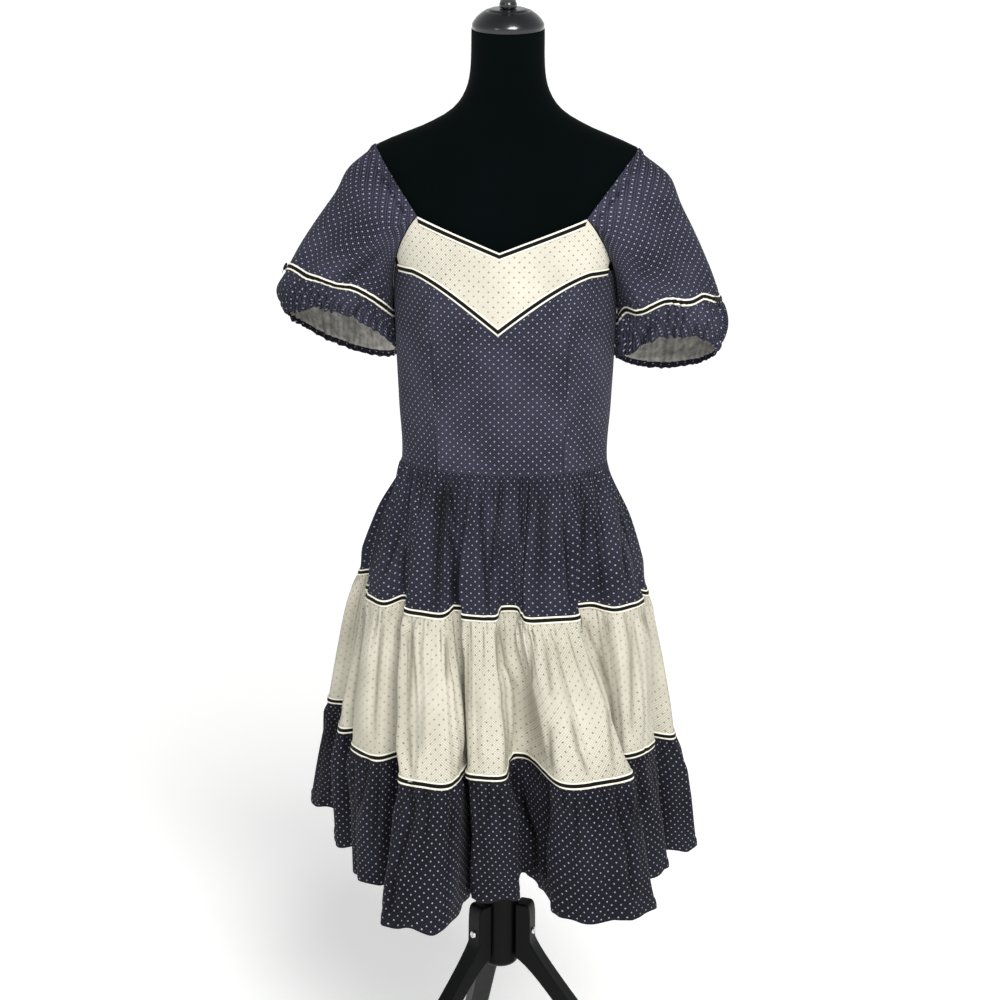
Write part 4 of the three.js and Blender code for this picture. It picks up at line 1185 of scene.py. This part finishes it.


# Larger creases placed one by one, x and z of both ends in millimetres as seen from the front.
TIER_CREASES = [
    [
        # x and z of one end, x and z of the other, half width, height
        (-61, 892, -51, 845, 4, -6),
        (-54, 868, -50, 784, 4, -8),
        (-22, 948, -19, 880, 3, -4),
        (-20, 900, -9, 784, 4, -6),
        (2, 955, -1, 890, 3, -4),
        (-1, 915, -10, 825, 4, -5),
        (27, 935, 29, 872, 3, -4),
        (47, 948, 57, 840, 4, -5),
        (78, 915, 92, 790, 4, -7),
        (104, 932, 101, 840, 4, -5),
        (144, 900, 157, 815, 4, -5),
        (-122, 880, -146, 815, 4, -5),
        (-117, 860, -118, 800, 4, -5),
        (-71, 950, -66, 918, 3, -4),
        (-62, 948, -52, 884, 3, -4),
        (-98, 938, -101, 900, 3, -4),
    ],
    [
        (-107, 778, -108, 640, 5, -7),
        (-108, 660, -101, 588, 5, -7),
        (-36, 779, -36, 594, 4, -8),
        (3, 776, 9, 712, 4, -6),
        (8, 728, 20, 680, 4, -7),
        (20, 700, 20, 596, 4, -7),
        (105, 776, 122, 728, 4, -6),
        (119, 742, 140, 676, 5, -7),
        (138, 690, 149, 596, 5, -8),
        (69, 664, 71, 600, 4, -4),
        (92, 672, 106, 620, 5, -4),
        (100, 640, 118, 598, 4, -5),
        (165, 775, 169, 620, 5, -6),
        (-145, 765, -157, 610, 5, -6),
        (-62, 762, -58, 700, 4, -4),
        (-80, 700, -84, 612, 6, 3),
        (40, 770, 46, 706, 4, -4),
        (60, 760, 70, 690, 4, -4),
        (-8, 690, -14, 610, 6, 3),
    ],
    [
        (-160, 600, -178, 500, 5, -6),
        (-148, 586, -152, 470, 5, -6),
        (-103, 590, -96, 540, 5, -6),
        (-97, 556, -112, 480, 5, -7),
        (-112, 490, -118, 436, 5, -6),
        (-34, 588, -30, 530, 4, -8),
        (-30, 548, -32, 440, 5, -9),
        (20, 588, 28, 536, 4, -7),
        (28, 548, 46, 496, 5, -8),
        (46, 508, 50, 440, 5, -9),
        (64, 586, 66, 530, 4, -6),
        (66, 544, 66, 450, 5, -8),
        (150, 590, 161, 520, 5, -7),
        (160, 536, 170, 450, 5, -7),
        (-74, 584, -78, 520, 4, -4),
        (100, 584, 106, 510, 4, -5),
        (-4, 584, -8, 528, 4, -4),
        (176, 590, 182, 520, 4, -5),
    ],
]
BACK_TIER_CREASES = [
    [
        (-66, 935, -78, 830, 4, -5),
        (-20, 945, -30, 800, 4, -6),
        (30, 940, 34, 860, 3, -4),
        (74, 930, 92, 810, 4, -6),
        (118, 915, 132, 820, 4, -5),
        (-112, 920, -130, 850, 4, -4),
        (-44, 890, -43, 810, 9, -3),
    ],
    [
        (-128, 776, -136, 600, 5, -7),
        (-62, 776, -70, 640, 5, -7),
        (-2, 778, 4, 596, 4, -8),
        (58, 776, 66, 650, 5, -6),
        (66, 664, 72, 596, 4, -6),
        (118, 770, 132, 610, 5, -7),
        (30, 760, 28, 690, 4, -4),
    ],
    [
        (-140, 588, -150, 470, 5, -7),
        (-70, 588, -82, 450, 5, -8),
        (4, 588, 2, 440, 5, -8),
        (72, 588, 84, 450, 5, -7),
        (136, 588, 148, 480, 5, -6),
        (-30, 584, -36, 510, 4, -5),
        (40, 584, 44, 520, 4, -5),
    ],
]

# In each tier's grid, the ribbon's edge is the third row from the top and the last but one.
RIBBON_ROW = {"below_seam": 2, "above_seam": -2}
tiers = [tier_grid(number) for number in range(len(TIERS))]
for number, tier in enumerate(TIERS):
    grid, uv, painted_fold_shade = tiers[number]
    sides = (tier["cloth"], lining)
    piece = add_cloth(tier["piece"], tier["node"], tier["slot"], sides, grid, uv, painted_fold_shade, wrap=True)
    trims = []
    if number + 1 < len(TIERS):
        above, below = grid[RIBBON_ROW["above_seam"]], tiers[number + 1][0][RIBBON_ROW["below_seam"]]
        name, node = f"tier_ribbon_{number + 1}", f"ribbon_tier_{number + 1}"
        trims = [add_ribbon(name, above, below, node, wrap=True)]
    cut_of(uv)[0]


# The sleeves: short puffs of the navy cotton, off the shoulder, gathered by elastic in a casing at
# the cuff. A ribbon runs round above the cuff, with a small black bow at its outer end.
SLEEVES = [
    {"name": "left", "side": -1, "puff": 8, "droop": 12,
     "ribbon": {"x": 203, "z": 1167, "half": 67, "depth": 62, "slope": 21, "pitch": 14},
     "cuff": {"x": 204, "z": 1115, "half": 69, "depth": 42, "slope": 24, "pitch": 30},
     "dip": {"at": 0.10, "wide": 0.08, "deep": 13}},
    {"name": "right", "side": 1, "puff": 11, "droop": 4,
     "ribbon": {"x": 197, "z": 1149, "half": 61, "depth": 62, "slope": 8, "pitch": 16},
     "cuff": {"x": 197, "z": 1096, "half": 61, "depth": 42, "slope": 3, "pitch": 28},
     "dip": {"at": 0.38, "wide": 0.08, "deep": 16}},
]
SLEEVE_COLUMNS = 300
# The free edge reaches this share of the top ring to each side of the shoulder, and the rest of
# the ring is lifted this far off the bodice.
SLEEVE_FREE = 0.2
SLEEVE_LIFT = 0.6
# The head's puff is a bell on the rows. CASING is how deep the elastic's casing is.
HEAD_PUFF = {"high": 8, "at": 0.42, "wide": 0.26}
PUFF_RISE = 0.4
CUFF_BELLY = 7
CASING = 11
# Rows go from 0 at the top ring to 2 at the ribbon's ring and 3 at the cuff's. The ribbon's middle
# is at the seat.
SLEEVE_SEAT = 1.9
SLEEVE_ROWS = np.concatenate([
    [0, 0.012, 0.03, 0.055, 0.09, 0.13, 0.155, 0.175, 0.195, 0.22],
    np.linspace(0.27, 1.84, 25), [SLEEVE_SEAT], np.linspace(1.97, 2.6, 13), np.linspace(2.65, 3, 11),
])
# Heights and depths in millimetres: the free edge puckers above its stitches, the casing stands
# proud round its elastic, and the ribbon and the cuff's edge aren't quite level.
FREE_EDGE = {"pucker": 1.5, "pucker_step": 9, "stitches": 1.6, "stitches_half": 1.8}
CUFF = {"crown": 1.1, "stitches": 1.0, "stitches_half": 1.5, "wave": 0.5, "wave_step": 15, "slope": 1.5}
SEAT_ROW = int(np.argmin(np.abs(SLEEVE_ROWS - SLEEVE_SEAT)))
SLEEVE_GATHERS = {
    # step along the cloth, height, how much of their valleys' painted shadow is kept, seed
    "above the ribbon": (24, 1.4, 0.6, 1),
    "below the ribbon": (17, 2.0, 1.0, 2),
    "on the casing": (15, 0.9, 1.0, 5),
}
SLEEVE_CREASES = {
    "left": [
        # the front's, then the back's: x and z of both ends, half width, height
        [
            (-168, 1154, -197, 1120, 5, -5),
            (-150, 1292, -222, 1196, 18, 2.5),
            (-138, 1255, -176, 1180, 10, -2),
            (-185, 1270, -238, 1200, 12, -1.6),
            (-222, 1158, -240, 1140, 6, -2),
        ],
        [
            (-150, 1285, -215, 1190, 16, 2.2),
            (-142, 1250, -180, 1175, 10, -2),
            (-196, 1160, -176, 1110, 6, -3),
        ],
    ],
    "right": [
        [
            (178, 1142, 160, 1106, 5, -5),
            (150, 1292, 214, 1186, 18, 2.5),
            (140, 1255, 170, 1168, 10, -2),
            (190, 1268, 232, 1190, 12, -1.6),
            (226, 1140, 238, 1110, 6, -2),
        ],
        [
            (152, 1285, 212, 1180, 16, 2.2),
            (140, 1250, 176, 1165, 10, -2),
            (200, 1150, 186, 1092, 6, -3),
        ],
    ],
}


def sleeve_top(sleeve, share):
    """The top ring, from its outermost point round by the front: the free edge, then the armhole.

    share runs from 0 to 1 round the ring. The free edge climbs from the corner to the shoulder as a
    cosine, and the armhole goes on from the corner to the underarm.
    """
    near = share <= 0.5
    from_shoulder = 2 * np.where(near, share, 1 - share)
    corner_x = np.where(near, FRONT_CORNER["x"], BACK_CORNER["x"])
    corner_z = np.where(near, FRONT_CORNER["z"], BACK_CORNER["z"])
    corner_angle = np.where(near, FRONT_CORNER_ANGLE, BACK_CORNER_ANGLE)
    free_end = 2 * SLEEVE_FREE
    up = np.cos(np.minimum(from_shoulder / free_end, 1) * np.pi / 2)
    shoulder_x = body_point(90, SHOULDER, 1)[0]
    free_z = corner_z + (SHOULDER - corner_z) * up
    free_angle = angle_at(corner_x + (shoulder_x - corner_x) * up, free_z)
    hole_angle = corner_angle + (90 - corner_angle) * (from_shoulder - free_end) / (1 - free_end)
    front_hole = armhole(hole_angle, FRONT_CORNER, FRONT_CORNER_ANGLE)
    back_hole = armhole(hole_angle, BACK_CORNER, BACK_CORNER_ANGLE)
    free = from_shoulder <= free_end
    angle = np.where(free, free_angle, hole_angle)
    height = np.where(free, free_z, np.where(near, front_hole, back_hole))
    point = body_point(np.where(near, angle, 180 - angle), height, 1)
    # The lift grows from nothing to the whole between 0.3 and 0.4 of the way.
    lift = SLEEVE_LIFT * np.clip((from_shoulder * 20 - 6) / 2, 0, 1)[:, None]
    return (point + unit(point * (1, 1, 0)) * lift + (0, 0, 1) * lift) * (sleeve["side"], 1, 1)


def sleeve_oval(sleeve, ring, share):
    """A tilted oval: share 0 is its outer end, and a quarter round is its front."""
    along, forward = np.cos(2 * np.pi * share), np.sin(2 * np.pi * share)
    return np.stack([
        sleeve["side"] * (ring["x"] + ring["half"] * along), -ring["depth"] * forward,
        ring["z"] + ring["slope"] * along + ring["pitch"] * forward,
    ], -1)


def sleeve_base(sleeve, share):
    """A sleeve's rows before its gathers, and its ribbon's ring.

    Each column is a curve through the top ring, a ring half way that puffs outwards, the ribbon's
    ring and the cuff's ring. A bell puffs out the head, and a sine the cloth above the cuff.
    """
    along, forward = np.cos(2 * np.pi * share), np.sin(2 * np.pi * share)
    outward = np.stack([sleeve["side"] * along, -forward, 0 * share], -1)
    free = (0.5 + 0.5 * along)[:, None]
    top, seat = sleeve_top(sleeve, share), sleeve_oval(sleeve, sleeve["ribbon"], share)
    away = unit(outward + (0, 0, PUFF_RISE))
    middle = (top + seat) / 2 + away * sleeve["puff"] * np.sqrt(free)
    controls = np.stack([top, middle, seat, sleeve_oval(sleeve, sleeve["cuff"], share)])
    base = spline(controls, SLEEVE_ROWS / 3)
    low = np.clip(SLEEVE_ROWS - 2, 0, None)[:, None, None]
    base = base + outward * CUFF_BELLY * np.sin(np.pi * low) * free
    bell = np.exp(-((SLEEVE_ROWS - HEAD_PUFF["at"]) / HEAD_PUFF["wide"]) ** 2)
    head = HEAD_PUFF["high"] * bell * smooth_step(SLEEVE_ROWS, 0, 0.2)
    return base + away * head[:, None, None] * free ** 2, seat


def sleeve_grid(sleeve, seed):
    """A sleeve with its puff, soft folds, gathers and casing, and its cloth coordinates.

    The columns start at the underarm seam. The cloth coordinates are lengths along each row from
    the outermost column, and up from the cuff.
    """
    share = (0.5 - sleeve["side"] * np.arange(SLEEVE_COLUMNS) / SLEEVE_COLUMNS) % 1
    base, seat = sleeve_base(sleeve, share)
    down = run_along(base, 0)
    left = down[-1:] - down
    at_seat = left[SEAT_ROW][None, :]
    to_seat = np.clip(left - at_seat, 0, None)
    around = np.linalg.norm(np.diff(seat, axis=0, append=seat[:1]), axis=-1).sum()
    u = around * np.arange(SLEEVE_COLUMNS) / SLEEVE_COLUMNS
    across = u[None, :] + random_wave(u, around, 80, seed)[None, :] * left * 0.03
    places = {
        "above the ribbon": (
            np.exp(-to_seat / 24) * smooth_step(down, 2, 30) * smooth_step(to_seat, 0, 6)
        ),
        "below the ribbon": smooth_step(at_seat - left, 2, 14),
        "on the casing": np.exp(-(left / CASING) ** 2),
    }
    lift, painted_fold_shade = np.zeros(across.shape), np.zeros(across.shape)
    for place_name, (step, high, shade, key) in SLEEVE_GATHERS.items():
        ridge, valley = gathers(across, around, step, seed + key)
        lift += high * ridge * places[place_name]
        painted_fold_shade = np.maximum(painted_fold_shade, valley * places[place_name] * shade)
    broad = 2.4 * random_wave(across, around, 85, seed + 3)
    lift += broad * smooth_step(down, 8, 60) * smooth_step(left, 20, 60)
    from_outermost = np.minimum(share, 1 - share)
    on_free = smooth_step(from_outermost, SLEEVE_FREE, SLEEVE_FREE * 0.9)[None, :]
    pucker = random_wave(across, around, FREE_EDGE["pucker_step"], seed + 4)
    stitched = np.exp(-((down - CASING) / FREE_EDGE["stitches_half"]) ** 2) * on_free
    lift += FREE_EDGE["pucker"] * pucker * np.exp(-((down - 6) / 6) ** 2) * on_free
    lift -= FREE_EDGE["stitches"] * stitched
    # Painted shade along the free edge's stitches, less where the cloth puckers up.
    painted_fold_shade = np.maximum(painted_fold_shade, stitched * np.clip(0.6 - pucker, 0.2, 1))
    lift += CUFF["crown"] * np.exp(-((left - CASING * 0.5) / 4) ** 2)
    lift -= CUFF["stitches"] * np.exp(-((left - CASING) / CUFF["stitches_half"]) ** 2)
    creased, deep = creases(base, *SLEEVE_CREASES[sleeve["name"]])
    painted_fold_shade = np.maximum(painted_fold_shade, deep * 0.8)
    grid = base + broad_normals(base) * (lift + creased)[..., None]
    wave = random_wave(u, around, CUFF["wave_step"], seed + 6)[None, :] * CUFF["wave"]
    grid[..., 2] += wave * np.exp(-left / 6)
    drop = sleeve["droop"] * smooth_step(from_outermost, 0.36, 0.48)
    uneven = random_wave(u, around, 60, seed + 7) * CUFF["slope"] - drop
    grid[..., 2] += uneven[None, :] * np.exp(-((left - at_seat) / 30) ** 2)
    dip = sleeve["dip"]
    from_dip = (share - dip["at"] + 0.5) % 1 - 0.5
    grid[..., 2] -= dip["deep"] * np.exp(-(from_dip / dip["wide"]) ** 2)[None, :] * np.exp(-left / 25)
    steps = np.linalg.norm(np.diff(base, axis=1, append=base[:, :1]), axis=-1)
    cloth_u = np.hstack([np.zeros((len(base), 1)), np.cumsum(steps, 1)])
    cloth_u -= cloth_u[:, SLEEVE_COLUMNS // 2, None]
    uv = np.stack([cloth_u, np.hstack([left, left[:, :1]])], -1)
    return grid, uv, painted_fold_shade


# Bows: narrow satin ribbon tied in two loops round a knot, stitched to the striped ribbon. at is
# how far round the sleeve a bow sits, from the outermost column.
BOW = {
    "reach": 8, "loop": 2.2, "width": 6.0, "pinch": 0.42, "knot": 2.0, "tail": 9, "at": 0.05,
    "thick": 0.4, "gap": 0.8,
}

bow_cloth, tree, surface = new_material(
    "black satin ribbon", Roughness=0.5, Sheen_Weight=0.03, Specular_IOR_Level=0.25,
)
coords = add_node(tree, "TexCoord").outputs["Object"]
fine = add_node(tree, "TexNoise", {"Vector": coords, "Scale": 900.0, "Detail": 2.0})
add_node(tree, "ValToRGB", {"Fac": fine}, surface["Base Color"], ramp=("#050506", "#0e0e10"))
add_node(tree, "Bump", {"Height": fine, "Strength": 0.3, "Distance": 0.0003}, surface["Normal"])


def bow_strips():
    """Strips of a bow as grids of along, up and outward distances from its knot.

    A loop goes out and back as a teardrop: its reach is a squared sine of half the turn, its
    height off the cloth a sine, and its width is pinched at the knot. A tail runs out and down on
    each side, and the knot is a ring across the middle.
    """
    theta = np.linspace(0, 2 * np.pi, 25)[:, None]
    spread = np.linspace(-0.5, 0.5, 5)[None, :]
    bulge = np.sin(theta / 2) ** 2
    wide = BOW["width"] * (BOW["pinch"] + (1 - BOW["pinch"]) * bulge)
    flat = 0 * spread
    for way in (-1, 1):
        yield np.stack([
            way * BOW["reach"] * bulge + flat, spread * wide + 0.5 * way * bulge,
            BOW["loop"] * (0.6 + 0.6 * np.sin(theta)) + flat,
        ], -1)
        run = np.linspace(0, 1, 9)[:, None]
        yield np.stack([
            way * BOW["tail"] * 0.55 * run + flat, -BOW["tail"] * run * 0.9 + spread * 0.5,
            0.7 + 0.5 * np.sin(np.pi * run) + flat,
        ], -1) + np.stack([spread * 3.4 + 0 * run, 0 * spread * run, 0 * spread * run], -1)
    knot = np.linspace(0, 2 * np.pi, 17)[:, None]
    yield np.stack([
        spread * 2 * BOW["knot"] + 0 * knot, BOW["knot"] * 1.3 * np.cos(knot) + flat,
        BOW["knot"] * (0.7 + 0.75 * np.sin(knot)) + flat,
    ], -1)


def add_bow(name, corner, along, up, outward):
    """Joins a bow's strips into one mesh, with its knot at a point and its loops along a direction."""
    points, faces = [], []
    for strip in bow_strips():
        first = sum(len(part) for part in points)
        rows, columns = strip.shape[:2]
        index = first + np.arange(rows * columns).reshape(rows, columns)
        faces += np.stack(quad_corners(index), -1).reshape(-1, 4).tolist()
        placed = corner + strip[..., :1] * along + strip[..., 1:2] * up + strip[..., 2:] * outward
        points.append(placed.reshape(-1, 3))
    mesh = bpy.data.meshes.new(name)
    mesh.from_pydata(place(np.concatenate(points)), [], faces)
    mesh.polygons.foreach_set("use_smooth", np.ones(len(mesh.polygons), bool))
    made = new_object(name, mesh)
    give_thickness(made, BOW["thick"], offset=0)
    return made


for number, sleeve in enumerate(SLEEVES):
    grid, uv, painted_fold_shade = sleeve_grid(sleeve, 500 + 20 * number)
    side = sleeve["name"]
    piece = add_cloth(
        f"puff_sleeve_{side}", f"sleeve_{side}", "navy_cotton", (navy, cuff_lining), grid, uv, painted_fold_shade,
        wrap=True,
    )
    above = beside(grid[SEAT_ROW], grid[SEAT_ROW - 2], RIBBON["width"] / 4, wrap=True)
    below = beside(grid[SEAT_ROW], grid[SEAT_ROW + 3], RIBBON["width"] * 3 / 4, wrap=True)
    trim = add_ribbon(f"sleeve_ribbon_{side}", above, below, f"ribbon_sleeve_{side}", wrap=True)
    column = int(round((0.5 - sleeve["side"] * BOW["at"]) * SLEEVE_COLUMNS))
    along = unit(above[column + 4] - above[column - 4])
    outward = unit(np.cross(below[column] - above[column], along))
    corner = (above[column] + below[column]) / 2 + outward * (RIBBON["lift"] + BOW["gap"])
    bow = add_bow(f"bow_of_{side}_sleeve", corner, along, np.cross(outward, along), outward)
    stand_in(bow, f"bow_{side}", "black_ribbon", bow_cloth)
    flat, area = cut_of(uv)
